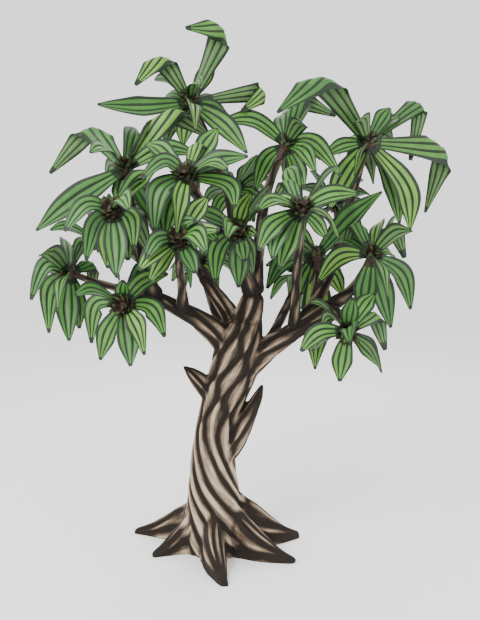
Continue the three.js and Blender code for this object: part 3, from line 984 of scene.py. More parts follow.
@dataclass
class Root:
    """A surface root: a fin that falls from the flare to a blunt toe."""

    plan: RootPlan
    strands: Strands = Strands(10, 0.5, 0.016, 1.2, ((0.12, 9, 0),))
    sides: int = 24
    start: float = 0.12
    end: float = 0.985
    step: float = 0.04
    blend_band: Band = (0.28, 0.4)
    blend_gap: float = 0.04
    rise_band: Band = (0.32, 0.42)
    fall_band: Band = (0.6, 0.9)
    fall: float = 0.75
    sink: float = 0.06
    lenses: float = 5.0
    lens_start: float = 3.0
    grain: float = 0.12

    def section(self, outs: np.ndarray) -> tuple[np.ndarray, np.ndarray]:
        """The size of the root at some shares of its reach.

        Args:
            outs: the shares.

        Returns:
            The heights and the half widths, in metres.
        """
        known = [each[0] for each in ROOT_PROFILE] + [1.0]
        tops = [each[1] * self.plan.height for each in ROOT_PROFILE] + [ROOT_TIP_HEIGHT * 1.5]
        halves = [each[2] for each in ROOT_PROFILE] + [12]
        return np.interp(outs, known, tops) * MM, np.interp(outs, known, halves) * MM

    def build(self) -> bpy.types.Object:
        """The plain fin: an upright circle, drawn out along +X, bent and turned to its bearing.

        Returns:
            The fin.
        """
        outs = np.append(np.arange(self.start, self.end - 0.005, self.step), self.end)
        tops, halves = self.section(outs)
        bend = np.radians(ROOT_SWEEP * (1 - outs))
        reach = self.plan.reach * MM
        centres = np.column_stack([outs * reach * np.cos(bend), outs * reach * np.sin(bend), outs * 0])
        fin = draw_out(self.sides, math.pi / 2, centres, np.column_stack([np.ones_like(outs), halves, tops]))
        fin.rotation_euler = (0, 0, math.radians(self.plan.bearing))
        bpy.ops.object.transform_apply(location=True, rotation=True, scale=True)
        return fin

    def grown(self, outs: np.ndarray) -> np.ndarray:
        """How far the strands stand out, from none where the root leaves the trunk to little at its toe."""
        return smooth_step(*self.rise_band, outs) * (1 - self.fall * smooth_step(*self.fall_band, outs))

    def read(self, points: np.ndarray) -> Reading:
        """What the root says of places on the skin.

        Args:
            points: the places, one row each.

        Returns:
            The reading.
        """
        reach = self.plan.reach * MM
        distance = np.hypot(points[:, 0], points[:, 1])
        outs = distance / reach
        bearing = np.radians(self.plan.bearing + ROOT_SWEEP * (1 - outs))
        off = np.arctan2(points[:, 1], points[:, 0]) - bearing
        off = (off + math.pi) % (2 * math.pi) - math.pi
        side = distance * np.sin(off)
        tops, halves = self.section(outs)
        tall, wide = points[:, 2] / tops, side / halves
        gap = (np.hypot(tall, wide) - 1) * halves + np.where(np.cos(off) < 0, 1.0, 0.0)
        gap += np.maximum(outs - 1, 0) * reach + (1 - smooth_step(*self.blend_band, outs)) * self.blend_gap
        angle = np.arctan2(tall, wide)
        phase = self.lenses * outs + math.radians(self.plan.bearing) * self.lens_start
        heights = self.strands.heights(self.strands.wandered(angle, outs), phase)
        ridge = (heights - self.sink) * self.grown(outs)
        return Reading(gap, ridge, self.strands.depth, grain_of(angle, distance, self.grain))


@dataclass
class Bough:
    """A stub or a bough: one tapering limb through its places."""

    plan: BoughPlan
    strands: Strands = Strands(6, 0.6, 0.013, 1.2, ((0.12, 11, 2),))
    sides: int = 24
    lens: float = 0.42
    lens_skew: float = 1.0
    twist: float = 1.1
    step: float = 0.02
    dome: float = 0.8
    swell: float = 0.0
    sink_band: Band = (0.12, 0.5)
    sink: float = 0.3
    end_band: Band = (-0.01, 0.09)
    grain: float = 0.09
    path: SmoothPath = field(init=False)

    def __post_init__(self) -> None:
        """Lays the path."""
        self.path = SmoothPath(self.plan.path)

    def radii(self, lengths: np.ndarray) -> np.ndarray:
        """The radius of the bough, which ends in a dome.

        Args:
            lengths: lengths along it.

        Returns:
            The radii there, in metres.
        """
        first, last = self.plan.radii
        shares = lengths / self.path.length
        plain = first + (last - first) * shares**self.plan.taper + self.swell * np.sin(math.pi * shares)
        dome = np.clip((lengths - self.path.length) / (self.dome * last * MM) + 1, 0, 1)
        return plain * MM * np.sqrt(1 - 0.99 * dome**2)

    def build(self) -> bpy.types.Object:
        """The plain bough: a line with a round section, made a mesh.

        Returns:
            The bough.
        """
        lengths = np.linspace(0, self.path.length, max(6, int(self.path.length / self.step * 2)))
        points, radii = self.path.at(lengths), self.radii(lengths)
        bpy.ops.object.select_all(action="DESELECT")
        bpy.ops.curve.primitive_nurbs_path_add(location=(0, 0, 0))
        line = bpy.context.object
        line.data.splines.clear()
        spline = line.data.splines.new("POLY")
        spline.points.add(len(points) - 1)
        for knot, point, radius in zip(spline.points, points, radii):
            knot.co = (*point, 1)
            knot.radius = radius
        line.data.bevel_depth = 1
        line.data.bevel_resolution = self.sides // 4 - 1
        line.data.use_fill_caps = True
        bpy.ops.object.convert(target="MESH")
        return bpy.context.object

    def read(self, points: np.ndarray) -> Reading:
        """What the bough says of places on the skin.

        Args:
            points: the places, one row each.

        Returns:
            The reading.
        """
        lengths = np.linspace(0, self.path.length, max(8, int(self.path.length / self.step)))
        centres, directions = self.path.at(lengths), self.path.directions(lengths)
        across, over = carried_axes(directions)
        tree = near_tree(centres)
        near = np.array([tree.find(point)[1] for point in points])
        offset = points - centres[near]
        ahead = np.einsum("ij,ij->i", offset, directions[near])
        right = np.einsum("ij,ij->i", offset, across[near])
        rise = np.einsum("ij,ij->i", offset, over[near])
        along = lengths[near] + ahead
        gap = np.hypot(right, rise) - self.radii(lengths[near]) + np.maximum(np.abs(ahead) - self.step, 0)
        angle = np.arctan2(rise, right) - self.twist * along
        phase = 2 * math.pi * along / self.lens
        ridge = self.strands.heights(
            self.strands.wandered(angle, along), phase + self.lens_skew * np.sin(angle * 2))
        ridge -= self.sink * smooth_step(*self.sink_band, along)
        ridge *= smooth_step(*self.end_band, self.path.length - along)
        return Reading(gap, ridge, self.strands.depth, grain_of(angle, along, self.grain))


@dataclass
class BarkSkin:
    """One skin of bark over the trunk, its roots, its stubs and its boughs."""

    trunk: Trunk
    roots: list[Root]
    boughs: list[Bough]
    finish: BarkFinish
    grid: float = 0.0085
    rounds: int = 6
    reach: float = 0.02
    groove_share: float = 0.62

    def build(self) -> bpy.types.Object:
        """Joins the plain bodies, grows one skin over them, and raises the bark on it.

        Returns:
            The skin.
        """
        bodies = [self.trunk.build(), *[each.build() for each in self.roots + self.boughs]]
        select_only(*bodies)
        bpy.ops.object.join()
        skin = bpy.context.object
        skin.name = skin.data.name = "bark_skin"
        apply_modifier(skin, "REMESH", {"mode": "VOXEL", "voxel_size": self.grid, "use_smooth_shade": True})
        apply_modifier(skin, "SMOOTH", {"iterations": self.rounds, "factor": 0.5})
        self.raise_bark(skin)
        self.cut_at_ground(skin)
        skin.data.materials.clear()
        skin.data.materials.append(self.finish.material())
        select_only(skin)
        bpy.ops.object.shade_smooth()
        return skin

    def raise_bark(self, skin: bpy.types.Object) -> None:
        """Moves the skin out on the ridges and in at the grooves, and writes the ridges on it.

        Args:
            skin: the plain skin.
        """
        points, normals = points_of(skin), points_of(skin, "normal")
        readings = [each.read(points) for each in [self.trunk, *self.roots, *self.boughs]]
        weights = np.array([np.exp(-(np.maximum(each.gap, 0) / self.reach) ** 2) + 1e-9 for each in readings])
        weights /= weights.sum(axis=0)
        ridge = sum(weight * each.ridge for weight, each in zip(weights, readings))
        relief = sum(weight * each.depth * (each.ridge - self.groove_share)
                     for weight, each in zip(weights, readings))
        nearest = np.argmax(weights, axis=0)
        grain = np.array([each.grain for each in readings])[nearest, np.arange(len(points))]
        moved = points + normals * relief[:, None]
        skin.data.vertices.foreach_set("co", moved.astype(np.float32).ravel())
        skin.data.update()
        add_number(skin, "ridge", ridge)
        add_vector(skin, "grain", grain)

    def cut_at_ground(self, skin: bpy.types.Object) -> None:
        """Cuts the skin flat at the ground and closes it there.

        Args:
            skin: the skin.
        """
        select_only(skin)
        bpy.ops.object.mode_set(mode="EDIT")
        bpy.ops.mesh.select_all(action="SELECT")
        bpy.ops.mesh.bisect(plane_co=(0, 0, 0), plane_no=(0, 0, 1), use_fill=True, clear_inner=True)
        bpy.ops.object.mode_set(mode="OBJECT")


class MeshParts:
    """Vertices, faces, materials and map places of many small shapes, gathered into one mesh."""

    def __init__(self) -> None:
        """Starts empty."""
        self.points: list[np.ndarray] = []
        self.faces: list[list[int]] = []
        self.kinds: list[int] = []
        self.places: list[np.ndarray] = []
        self.count = 0

    def add_tube(self, rings: np.ndarray, places: np.ndarray, kinds: np.ndarray, tip: bool = True) -> None:
        """Adds one closed shape through rings of points.

        Args:
            rings: the rings' points, by ring, by point, by axis.
            places: the map place of each of those points.
            kinds: the material of each face, by ring, by point.
            tip: whether the last ring closes to its middle point, as on a leaf, or to a flat end.
        """
        rows, sides = rings.shape[:2]
        index = self.count + np.arange(rows * sides).reshape(rows, sides)
        self.points.append(rings.reshape(-1, 3))
        self.places.append(places.reshape(-1, 2))
        self.count += rows * sides
        here, there = index[:-1], index[1:]
        quads = np.stack([here, np.roll(here, -1, 1), np.roll(there, -1, 1), there], axis=-1)
        self.faces.extend(quads.reshape(-1, 4).tolist())
        self.kinds.extend(kinds[:-1].reshape(-1).tolist())
        self.faces.append(index[0][::-1].tolist())
        self.kinds.append(int(kinds[0, 0]))
        if tip:
            self.points.append(rings[-1].mean(axis=0)[None])
            self.places.append(places[-1].mean(axis=0)[None])
            ends = zip(index[-1], np.roll(index[-1], -1))
            self.faces.extend([int(a), int(b), self.count] for a, b in ends)
            self.kinds.extend(kinds[-1].tolist())
            self.count += 1
        else:
            self.faces.append(index[-1].tolist())
            self.kinds.append(int(kinds[-1, 0]))

    def piece(self, name: str, materials: list[bpy.types.Material]) -> bpy.types.Object:
        """The shapes as one piece.

        Args:
            name: the piece's name.
            materials: its materials, in the order that the faces name them.

        Returns:
            The piece.
        """
        mesh = bpy.data.meshes.new(name)
        mesh.from_pydata(np.vstack(self.points).tolist(), [], self.faces)
        mesh.polygons.foreach_set("material_index", self.kinds)
        layer = mesh.uv_layers.new(name="blade")
        corners = np.zeros(len(mesh.loops), np.int32)
        mesh.loops.foreach_get("vertex_index", corners)
        layer.data.foreach_set("uv", np.vstack(self.places)[corners].astype(np.float32).ravel())
        for material in materials:
            mesh.materials.append(material)
        mesh.update()
        made = bpy.data.objects.new(name, mesh)
        bpy.context.scene.collection.objects.link(made)
        return made


@dataclass
class Limb:
    """A limb that carries a rosette: a tapering tube with a collar where it leaves the wood."""

    plan: RosettePlan
    strands: Strands = Strands(4, 0.6, 0.007, 1.1, ((0.15, 13, 0),))
    sides: int = 32
    step: float = 0.011
    collar: float = 0.35
    collar_length: float = 0.13
    bulb: float = 0.06
    lens: float = 0.26
    twist: float = 2.4
    grown: Band = (0.0, 0.12)
    groove_share: float = 0.6
    plain_radius: float = 0.04
    grain: float = 0.05
    path: SmoothPath = field(init=False)

    def __post_init__(self) -> None:
        """Lays the path to the heart."""
        self.path = SmoothPath([*self.plan.path, self.plan.heart])

    def radii(self, lengths: np.ndarray) -> np.ndarray:
        """The plain radius, in metres, at some lengths along the limb."""
        first, last = self.plan.radii
        return (first + (last - first) * (lengths / self.path.length) ** LIMB_TAPER) * MM

    def add_to(self, parts: MeshParts, ridges: list[np.ndarray], grains: list[np.ndarray]) -> None:
        """Adds the limb's skin.

        Args:
            parts: the mesh that it goes in.
            ridges: gathers how high the bark stands at each vertex.
            grains: gathers the grain at each vertex.
        """
        end = self.path.length - STEM_LENGTH * MM
        lengths = np.linspace(0, end, int(end / self.step))
        around, along = np.meshgrid(np.arange(self.sides) / self.sides * 2 * math.pi, lengths)
        phase = 2 * math.pi * along / self.lens + self.plan.fill
        ridge = self.strands.heights(self.strands.wandered(around - self.twist * along, along), phase)
        ridge = ridge * smooth_step(*self.grown, along)
        start = np.clip(1 - along / self.bulb, 0, 1)
        radii = self.radii(along) * (1 + self.collar * np.exp(-(along / self.collar_length) ** 2))
        radii *= np.sqrt(1 - 0.98 * start**2)
        radii += self.strands.depth * (ridge - self.groove_share) * (self.radii(along) / self.plain_radius)
        points = self.path.rings(lengths, around, radii)
        parts.add_tube(points, np.stack([around, along], axis=-1), np.zeros_like(around, int), tip=False)
        ridges.append(ridge.ravel())
        grains.append(grain_of(around.ravel(), along.ravel() + self.plan.fill, self.grain))


@dataclass
class Leaf:
    """A strap leaf: where it starts, arches and ends, its reach, and which way it faces.

    A leaf that turns over has a crease instead of a face: the crease's direction as the front shows it,
    and its lean, which is how far the leaf goes back for each metre along the crease.
    """

    heart: np.ndarray
    apex: np.ndarray
    tip: np.ndarray
    reach: float
    face: np.ndarray | None = None
    crease: np.ndarray | None = None
    lean: float = 0.0
    wider: float = 1.0

    def moved(self, shift: float) -> "Leaf":
        """The same leaf with its arch at another depth along the line of sight from the front.

        Args:
            shift: how far, as a share of the reach, or of the lean where the leaf turns over.

        Returns:
            The moved leaf.
        """
        if self.crease is None:
            depths = [shift * self.reach * APEX_SHARE, shift * self.reach]
        else:
            lean = self.lean * (1 + shift)
            depths = [lean * float((point - self.heart) @ self.crease) for point in (self.apex, self.tip)]
        return replace(self, apex=move_in_depth(self.apex, depths[0]), tip=move_in_depth(self.tip, depths[1]),
                       lean=self.lean * (1 + shift))

    def axes(self, points: np.ndarray, directions: np.ndarray,
             half: np.ndarray) -> tuple[np.ndarray, np.ndarray]:
        """The axes across the blade and out of its face at some places along it.

        Args:
            points: the places.
            directions: the directions of travel there.
            half: half the blade's width there.

        Returns:
            The axes across and out.
        """
        if self.crease is None:
            hints = np.cross(self.face, directions)
            across = unit(hints - directions * np.einsum("ij,ij->i", hints, directions)[:, None])
        else:
            across = self._turning_axes(points, directions, half)
        return across, unit(np.cross(directions, across))

    def _turning_axes(self, points: np.ndarray, directions: np.ndarray, half: np.ndarray) -> np.ndarray:
        """The width axes of a leaf that turns over, like a ribbon folded once.

        Both parts lie broad to the front. Near the fold the axes turn just so far that the outer margin
        stays on the line of the fold. They lie slantwise on the blade there, as the fold does.

        Args:
            points: places along the middle line.
            directions: the directions of travel there.
            half: half the blade's width there.

        Returns:
            The axes.
        """
        fold, above, outward = self._fold_axes()
        flat = unit(directions * FRONT_PLANE)
        levels = points @ above
        broad = np.maximum(np.abs(flat @ fold), 1e-6)
        room = (levels.max() - levels) / (half + 1e-6)
        turned = broad * room / np.maximum(np.hypot(broad, room), 1e-6)
        axes = fold * np.sqrt(1 - turned**2)[:, None] - above * (np.sign(flat @ above) * turned)[:, None]
        middle = len(points) // 2
        return axes * np.sign(np.cross(directions[middle], axes[middle]) @ outward)

    def _fold_axes(self) -> tuple[np.ndarray, np.ndarray, np.ndarray]:
        """The directions that the fold gives.

        Returns:
            The line of the fold, the way that is above it, and the way that the leaf arches.
        """
        bend = self.bend()
        fold = unit(unit((bend - self.heart) * FRONT_PLANE) + unit((self.tip - bend) * FRONT_PLANE))
        outward = self.apex * 2 - self.tip - self.heart
        return fold, unit((outward - fold * (outward @ fold)) * FRONT_PLANE), outward

    def folded(self, points: np.ndarray, half: np.ndarray) -> np.ndarray:
        """How near the fold some places are, from 0 away from it to 1 on it.

        Args:
            points: places along the middle line.
            half: half the blade's width there.

        Returns:
            The nearness.
        """
        if self.crease is None:
            return np.zeros(len(points))
        levels = points @ self._fold_axes()[1]
        return 1 - smooth_step(0.0, FOLD_REACH, (levels.max() - levels) / (half + 1e-6))

    def bend(self) -> np.ndarray:
        """The point that the middle line bends towards."""
        halves = 2 ** self.order
        return (self.apex * halves - self.tip - self.heart) / (halves - 2)

    @property
    def order(self) -> int:
        """The power of the middle line, which is higher where the leaf folds over."""
        return 3 if self.crease is None else FOLD_ORDER

    def root(self) -> float:
        """The share of the line at which the blade comes out of the heart."""
        inside = (HEART_RADIUS - LEAF_ROOT_DEPTH) * MM
        return inside / (self.order * np.linalg.norm(self.bend() - self.heart))

    def line(self, shares: np.ndarray) -> tuple[np.ndarray, np.ndarray]:
        """The middle line at some shares of it.

        Args:
            shares: the shares, from 0 at the heart to 1 at the tip.

        Returns:
            The points and the directions of travel.
        """
        t, power = shares[:, None], self.order
        bend = self.bend()
        near, far = (1 - t) ** power, t**power
        points = self.heart * near + bend * (1 - near - far) + self.tip * far
        travel = (bend - self.heart) * (1 - t) ** (power - 1) + (self.tip - bend) * t ** (power - 1)
        return points, unit(travel)

    def half_widths(self, shares: np.ndarray) -> np.ndarray:
        """Half the blade's width at some shares of the line.

        Args:
            shares: the shares, from 0 at the heart to 1 at the tip.

        Returns:
            The half widths, in metres.
        """
        most = LEAF_HALF_WIDTH * MM + LEAF_WIDTH_SLOPE * self.reach
        low = LEAF_ROOT_SHARE + (1 - LEAF_ROOT_SHARE) * np.sin(
            np.clip(shares / LEAF_WIDEST, 0, 1) * math.pi / 2)
        widest = LEAF_WIDEST if self.crease is None else FOLD_WIDEST
        beyond = np.clip((shares - widest) / (1 - widest), 0, 1)
        if self.crease is not None:
            most *= 1 - FOLD_NARROW * smooth_step(*FOLD_BAND, shares)
        return most * self.wider * low * (1 - beyond**LEAF_POINT)


def move_in_depth(point: np.ndarray, depth: float) -> np.ndarray:
    """A place moved to another depth along the line of sight from the front."""
    sight = point - FRONT_VIEW
    return point + sight * (depth / sight[1])


def shown_leaves(plan: RosettePlan, draws: Draws) -> list[Leaf]:
    """The leaves that the front shows.

    Args:
        plan: the rosette.
        draws: its draws.

    Returns:
        The leaves.
    """
    heart = place(plan.heart)
    leaves = []
    for clock, reach_mm, rise_mm, *rest in plan.leaves:
        reach, rise = reach_mm * MM, rise_mm * MM
        side = -1 if clock < 0 else 1
        out = clock_vector(clock)
        over = side * clock_vector(clock - 90)
        depth = reach * DEPTH_SHARE * (draws() - DEPTH_FRONT)
        tip = heart + out * reach
        apex = heart + out * reach * (rest[0] if rest else 0.5) + over * rise
        if len(rest) > 1:
            leaves.append(Leaf(heart, apex + over * FOLD_RAISE * MM, tip, reach, crease=clock_vector(rest[1]),
                               lean=rest[2], wider=FOLD_WIDER))
            continue
        face = unit(np.array([0, -FACE_FRONT, 1.0]))
        leaves.append(Leaf(heart, move_in_depth(apex, depth * APEX_SHARE), move_in_depth(tip, depth),
                           reach, face, wider=SHOWN_WIDER))
    return leaves


def fill_leaves(plan: RosettePlan, draws: Draws) -> list[Leaf]:
    """The leaves that fill a rosette: to the back and the front, or all round where none shows.

    Args:
        plan: the rosette.
        draws: its draws.

    Returns:
        The leaves.
    """
    heart = place(plan.heart)
    leaves = []
    for index in range(plan.fill):
        wander = draws() - 0.5
        facing = -90 if index % FILL_FRONT_EVERY == FILL_FRONT_EVERY - 1 else 90
        turn = facing + FILL_SPREAD * wander if plan.leaves else GOLDEN_ANGLE * index + FILL_WANDER * wander
        climb = math.radians(mix(FILL_TOP, FILL_BOTTOM, (index + draws()) / plan.fill))
        flat = bearing_vector(turn)
        reach = FILL_REACH * MM * mix(FILL_NARROW, 1, abs(flat[1])) * mix(FILL_SHORT, FILL_LONG, draws())
        fold = FILL_FOLD * (-1 if draws() < 0.5 else 1)
        rise = FILL_RISE * reach * math.cos(climb)
        offset = flat * math.cos(climb) + UP * math.sin(climb)
        apex = heart + offset * reach / 2 + UP * rise + flat * FILL_LEAN * reach
        face = unit(UP + bearing_vector(turn + 90) * fold)
        leaves.append(Leaf(heart, apex, heart + offset * reach, reach, face))
    return leaves


@dataclass(frozen=True)
class Blade:
    """The section of a leaf: three lanes, dark lines between them, rolled margins and a keel."""

    across: Figure = (-1, -0.92, -0.74, -0.57, -0.42, -0.31, -0.19, 0, 0.19, 0.31, 0.42, 0.57, 0.74, 0.92, 1)
    top: Figure = (0, 0.05, 0.035, 0.075, 0.03, -0.035, 0.03, 0.07, 0.03, -0.035, 0.03, 0.075, 0.035, 0.05, 0)
    channel: float = 0.26
    arch: float = 1.0
    thickness: float = 0.085
    least: float = 0.0022
    dark_root: float = 0.08
    dark_tip: int = 2
    step: float = 0.022
    crowding: float = 0.94
    ripple: Figure = (0.035, 9, 5)
    tilt: Figure = (0.07, 4, 3)

    def kinds(self, blade: LeafPart) -> np.ndarray:
        """The material of each face round the section.

        Args:
            blade: the colour of its lanes.

        Returns:
            The materials' numbers, top side first.
        """
        line, lane, under = LeafPart.LINE.value, blade.value, LeafPart.UNDER.value
        half = [line, line, lane, lane, line, line]
        above = [*half, lane, lane, *half[::-1]]
        below = [line, line, under, under, line, line, under, under, line, line, under, under, line, line]
        return np.array([*above, *below])

    def wave(self, kind: Figure, shares: np.ndarray, draws: Draws) -> np.ndarray:
        """A wave along the blade.

        Args:
            kind: its size, its least pace, and how much a draw may add to that.
            shares: the shares of the middle line.
            draws: the draws.

        Returns:
            The wave's heights.
        """
        size, pace, more = kind
        return size * np.sin(shares * (pace + more * draws()) + WAVE_START * draws())

    def add_to(self, parts: MeshParts, leaf: Leaf, blade: LeafPart, draws: Draws) -> None:
        """Adds one leaf.

        Args:
            parts: the mesh that it goes in.
            leaf: the leaf.
            blade: the colour of its lanes.
            draws: the draws of its small unevenness.
        """
        count = max(10, int(leaf.reach * 1.15 / self.step))
        root = leaf.root()
        shares = root + (1 - root) * (np.linspace(0, 1, count + 1)[:-1]) ** self.crowding
        points, directions = leaf.line(shares)
        half = leaf.half_widths(shares)
        across, face = leaf.axes(points, directions, half)
        u, rows_top = np.array(self.across), np.array(self.top)
        ripple = 1 + self.wave(self.ripple, shares, draws)
        tilt = self.wave(self.tilt, shares, draws)
        rows_low = (-self.thickness * (1 - 0.8 * u**2) - rows_top * 0.6)[1:-1][::-1]
        wide = np.concatenate([u, u[1:-1][::-1]])
        arch = (self.arch * leaf.folded(points, half))[:, None] * (0.4 - np.abs(wide) ** 2.2)
        tall = np.concatenate([rows_top, rows_low]) + self.channel * (np.abs(wide) ** 1.5 - 0.4)
        drop = np.concatenate([np.zeros(len(u)), np.full(len(u) - 2, self.least)])
        lift = (tall[None] + arch) * half[:, None] - drop[None] + wide[None] * half[:, None] * tilt[:, None]
        spread = wide[None] * (half * ripple)[:, None]
        rings = points[:, None] + across[:, None] * spread[..., None] + face[:, None] * lift[..., None]
        along = np.broadcast_to((shares * leaf.reach)[:, None], spread.shape)
        at_root = np.linalg.norm(points - leaf.heart, axis=1) < self.dark_root
        dark = at_root | (np.arange(count) >= count - self.dark_tip)
        kinds = np.where(dark[:, None], LeafPart.LINE.value, self.kinds(blade)[None])
        places = np.stack([spread, along], axis=-1)
        parts.add_tube(rings[:, ::-1], places[:, ::-1], np.roll(kinds[:, ::-1], -1, 1))


class LeafFinder:
    """Finds which of a leaf's few forms its solid took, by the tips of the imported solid."""

    NEAR = 0.0015

    def __init__(self, node: bpy.types.Object) -> None:
        """Reads the solid's vertices.

        Args:
            node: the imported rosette.
        """
        self.tree = near_tree(points_of(node))

    def form(self, leaf: Leaf) -> Leaf | None:
        """The form of a leaf that stands, or None where it was left out.

        Args:
            leaf: the leaf as drawn.

        Returns:
            The form.
        """
        for shift in DEPTH_TRIES:
            moved = leaf.moved(shift)
            if self.tree.find(Vector(moved.tip))[2] < self.NEAR:
                return moved
        return None


@dataclass
class Rosette:
    """A rosette: its leaves, and the old leaf bases that clasp its stem and heart."""

    plan: RosettePlan
    index: int
    blade: Blade = Blade()
    smooth_under: float = 50.0
    stem_rings: int = 12
    stem_sides: int = 16
    stem_fit: float = 0.98
    core_radius: float = 0.046
    core_rings: int = 7
    core_sides: int = 14
    core_cap: float = 0.25
    bases: int = 34
    base_start: float = 0.036
    base_length: float = 0.085
    base_half: float = 0.021
    base_polar: Band = (165, 12)
    base_spread: Band = (1.0, 0.45)
    base_growth: float = 0.75
    base_arch: float = 0.12
    base_lean: float = 0.2
    base_end: float = 0.9
    base_point: float = 2.2
    base_jitter: float = 25
    base_lengths: Band = (0.75, 1.2)
    base_widths: Band = (0.8, 1.2)
    base_section: Figure = (-1, -0.5, 0, 0.5, 1, 0.5, 0, -0.5)
    base_heights: Figure = (-0.42, -0.08, 0.03, -0.08, -0.42, -0.26, -0.17, -0.26)
    base_rings: int = 7
    base_green_from: float = 0.35

    def leaves(self, finder: LeafFinder) -> list[Leaf]:
        """Every leaf of the rosette that stands.

        Args:
            finder: the finder of their forms.

        Returns:
            The leaves.
        """
        drawn = shown_leaves(self.plan, Draws(SHOWN_SEED + self.index))
        drawn += fill_leaves(self.plan, Draws(FILL_SEED + self.index))
        forms = [finder.form(leaf) for leaf in drawn]
        LOG.info("%s: %d of %d leaves stand", self.plan.name, len([f for f in forms if f]), len(forms))
        return [form for form in forms if form]

    def build(self, finder: LeafFinder, materials: list[bpy.types.Material]) -> bpy.types.Object:
        """The leaves as one piece.

        Args:
            finder: the finder of their forms.
            materials: the leaf materials.

        Returns:
            The piece.
        """
        draws = Draws(DETAIL_SEED + self.index)
        parts = MeshParts()
        colours = [LeafPart.BLADE_DEEP, LeafPart.BLADE_MID, LeafPart.BLADE_MID, LeafPart.BLADE_FRESH]
        for leaf in self.leaves(finder):
            self.blade.add_to(parts, leaf, colours[int(draws() * len(colours))], draws)
        piece = parts.piece(f"leaves_{self.plan.name}", materials)
        select_only(piece)
        bpy.ops.object.shade_smooth_by_angle(angle=math.radians(self.smooth_under))
        return piece

    def add_heart(self, parts: MeshParts, limb: Limb) -> None:
        """Adds the stem, the heart and the old leaf bases round them.

        Args:
            parts: the mesh of all hearts.
            limb: the rosette's limb.
        """
        draws = Draws(DETAIL_SEED * 3 + self.index)
        heart = place(self.plan.heart)
        length = limb.path.length
        lengths = np.linspace(length - (STEM_LENGTH + STEM_OVERLAP) * MM, length, self.stem_rings)
        around = (np.arange(self.stem_sides) / self.stem_sides * 2 * math.pi)[None]
        self._add_plain(parts, limb.path.rings(lengths, around, limb.radii(lengths)[:, None] * self.stem_fit))
        self._add_core(parts, heart)
        growth = limb.path.directions(np.array([length]))[0]
        side = unit(np.cross(growth, BACK))
        other = np.cross(growth, side)
        for number in range(self.bases):
            share = number / (self.bases - 1)
            turn = math.radians(GOLDEN_ANGLE * number + self.base_jitter * (draws() - 0.5))
            round_out = side * math.cos(turn) + other * math.sin(turn)
            polar = mix(*np.radians(self.base_polar), share)
            out = round_out * math.sin(polar) + growth * math.cos(polar)
            start = heart + out * self.base_start
            towards = unit(growth * self.base_growth + round_out * mix(*self.base_spread, share))
            long = self.base_length * mix(*self.base_lengths, draws())
            tip = start + towards * long
            apex = start + towards * long * 0.5 + out * long * self.base_arch
            scale = Leaf(start, apex, tip, long, unit(out + towards * self.base_lean))
            self._add_base(parts, scale, self.base_half * mix(*self.base_widths, draws()))

    def _add_plain(self, parts: MeshParts, rings: np.ndarray) -> None:
        """Adds a brown shape with flat ends and no map of its own."""
        parts.add_tube(rings, np.zeros((*rings.shape[:2], 2)), np.zeros(rings.shape[:2], int), tip=False)

    def _add_core(self, parts: MeshParts, heart: np.ndarray) -> None:
        """Adds the heart's core, a stretched ball.

        Args:
            parts: the mesh of all hearts.
            heart: its middle.
        """
        polar = np.linspace(self.core_cap, math.pi - self.core_cap, self.core_rings)[:, None]
        angles = (np.arange(self.core_sides) / self.core_sides * 2 * math.pi)[None]
        ball = np.stack([
            np.sin(polar) * np.cos(angles), np.sin(polar) * np.sin(angles),
            -np.cos(polar) * np.ones_like(angles) * HEART_STRETCH,
        ], axis=-1)
        self._add_plain(parts, ball * self.core_radius + heart)

    def _add_base(self, parts: MeshParts, leaf: Leaf, half: float) -> None:
        """Adds one old leaf base: a short clasping scale, brown below and green at its tip.

        Args:
            parts: the mesh of all hearts.
            leaf: its middle line, as a leaf's.
            half: half its width, in metres.
        """
        shares = np.linspace(0, self.base_end, self.base_rings)
        points, directions = leaf.line(shares)
        width = half * (1 - shares**self.base_point)
        across, face = leaf.axes(points, directions, width)
        wide = np.array(self.base_section)[None] * width[:, None]
        lift = np.array(self.base_heights)[None] * width[:, None]
        rings = points[:, None] + across[:, None] * wide[..., None] + face[:, None] * lift[..., None]
        along = np.broadcast_to((shares * leaf.reach)[:, None], wide.shape)
        kinds = np.repeat((shares > self.base_green_from).astype(int)[:, None], wide.shape[1], axis=1)
        parts.add_tube(rings[:, ::-1], np.stack([wide, along], axis=-1)[:, ::-1], kinds)


@dataclass(frozen=True)
class SoftLight:
    """A soft square light: its place, its side, and its power in watts."""

    name: str
    where: Place
    size: float
    power: float


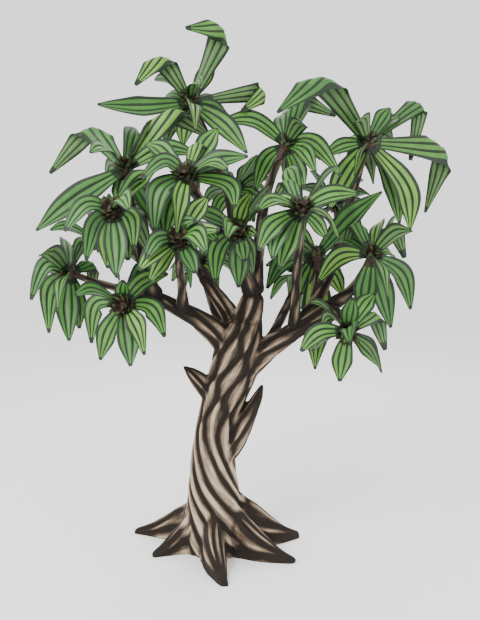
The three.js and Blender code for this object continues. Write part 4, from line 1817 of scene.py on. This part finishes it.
@dataclass
class Studio:
    """The pale floor, the soft lights and the camera at the front."""

    floor_size: float = 120.0
    lights: tuple[SoftLight, ...] = (
        SoftLight("key", (-3.6, -4.6, 6.4), 3.2, 560),
        SoftLight("fill", (4.6, -3.4, 3.6), 4.2, 90),
        SoftLight("rim", (1.5, 5.2, 6.0), 4.0, 220),
    )
    lit_place: Place = (0.1, 0, 2.0)
    pitch: float = 8.6
    focal_pixels: float = 853.0
    long_side: float = 620.0
    sensor: float = 36.0
    sky: Figure = (1.0, 1.0, 1.0, 1)
    sky_strength: float = 1.6

    def build(self) -> None:
        """Lays the floor, hangs the lights and sets the camera."""
        bpy.ops.object.select_all(action="DESELECT")
        bpy.ops.mesh.primitive_plane_add(size=self.floor_size, location=(0, 0, 0))
        floor = bpy.context.object
        floor.name = "floor"
        floor.data.materials.append(FloorFinish().material())
        for plan in self.lights:
            self.hang(plan)
        world = bpy.data.worlds.new("sky")
        bpy.context.scene.world = world
        world.use_nodes = True
        background = world.node_tree.nodes["Background"]
        background.inputs["Color"].default_value = self.sky
        background.inputs["Strength"].default_value = self.sky_strength
        self.set_camera()

    def hang(self, plan: SoftLight) -> None:
        """Hangs one light so that it looks at the crown.

        Args:
            plan: the light.
        """
        bpy.ops.object.light_add(type="AREA", location=plan.where)
        light = bpy.context.object
        light.name = plan.name
        light.data.size = plan.size
        light.data.energy = plan.power
        towards = Vector(self.lit_place) - Vector(plan.where)
        light.rotation_euler = towards.to_track_quat("-Z", "Y").to_euler()

    def set_camera(self) -> None:
        """Sets the camera where the front view was drawn from."""
        bpy.ops.object.camera_add(location=FRONT_VIEW, rotation=(math.radians(90 - self.pitch), 0, 0))
        camera = bpy.context.object
        camera.data.sensor_width = self.sensor
        camera.data.lens = self.focal_pixels * self.sensor / self.long_side
        bpy.context.scene.camera = camera


def settle(piece: bpy.types.Object, nodes: list[str]) -> None:
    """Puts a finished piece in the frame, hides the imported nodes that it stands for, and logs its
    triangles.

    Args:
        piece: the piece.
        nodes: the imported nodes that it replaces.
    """
    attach(piece, "root")
    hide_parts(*nodes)
    LOG.info("%s: %d triangles", piece.name, triangles_of(piece))


def build_wood() -> list[Limb]:
    """Builds the bark skin and the limbs.

    Returns:
        The limbs, in the rosettes' order.
    """
    boughs = [Bough(plan, swell=STUB_SWELL if plan.name.startswith("stub") else 0) for plan in BOUGHS]
    skin = BarkSkin(Trunk(TRUNK_STATIONS), [Root(plan) for plan in ROOTS], boughs, TRUNK_BARK)
    settle(skin.build(), ["trunk", *[plan.name for plan in BOUGHS]])
    limbs = [Limb(plan) for plan in ROSETTES]
    parts, ridges, grains = MeshParts(), [], []
    for limb in limbs:
        limb.add_to(parts, ridges, grains)
    piece = parts.piece("limbs", [LIMB_BARK.material()])
    add_number(piece, "ridge", np.concatenate(ridges))
    add_vector(piece, "grain", np.vstack(grains))
    select_only(piece)
    bpy.ops.object.shade_smooth()
    settle(piece, [f"limb_{plan.name}" for plan in ROSETTES])
    return limbs


def build_rosettes(nodes: dict[str, bpy.types.Object], limbs: list[Limb]) -> None:
    """Builds the leaves of every rosette, and all hearts.

    Args:
        nodes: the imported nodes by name.
        limbs: the limbs, in the rosettes' order.
    """
    materials = [LEAF_FINISHES[part].material() for part in LeafPart]
    hearts = MeshParts()
    for index, (plan, limb) in enumerate(zip(ROSETTES, limbs)):
        rosette = Rosette(plan, index)
        node = f"rosette_{plan.name}"
        settle(rosette.build(LeafFinder(nodes[node]), materials), [node])
        rosette.add_heart(hearts, limb)
    piece = hearts.piece("hearts", [SHEATH_BASE.material(), SHEATH_TIP.material()])
    select_only(piece)
    bpy.ops.object.shade_smooth_by_angle(angle=math.radians(Rosette.smooth_under))
    settle(piece, [f"rosette_{plan.name}" for plan in ROSETTES])


def main() -> None:
    """Builds the whole plant in its studio, and logs how many leaves stand and how many triangles each piece
    has.
    """
    logging.basicConfig(level=logging.INFO, format="%(message)s")
    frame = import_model()
    Studio().build()
    limbs = build_wood()
    build_rosettes(frame["nodes"], limbs)


if __name__ == "__main__":
    main()
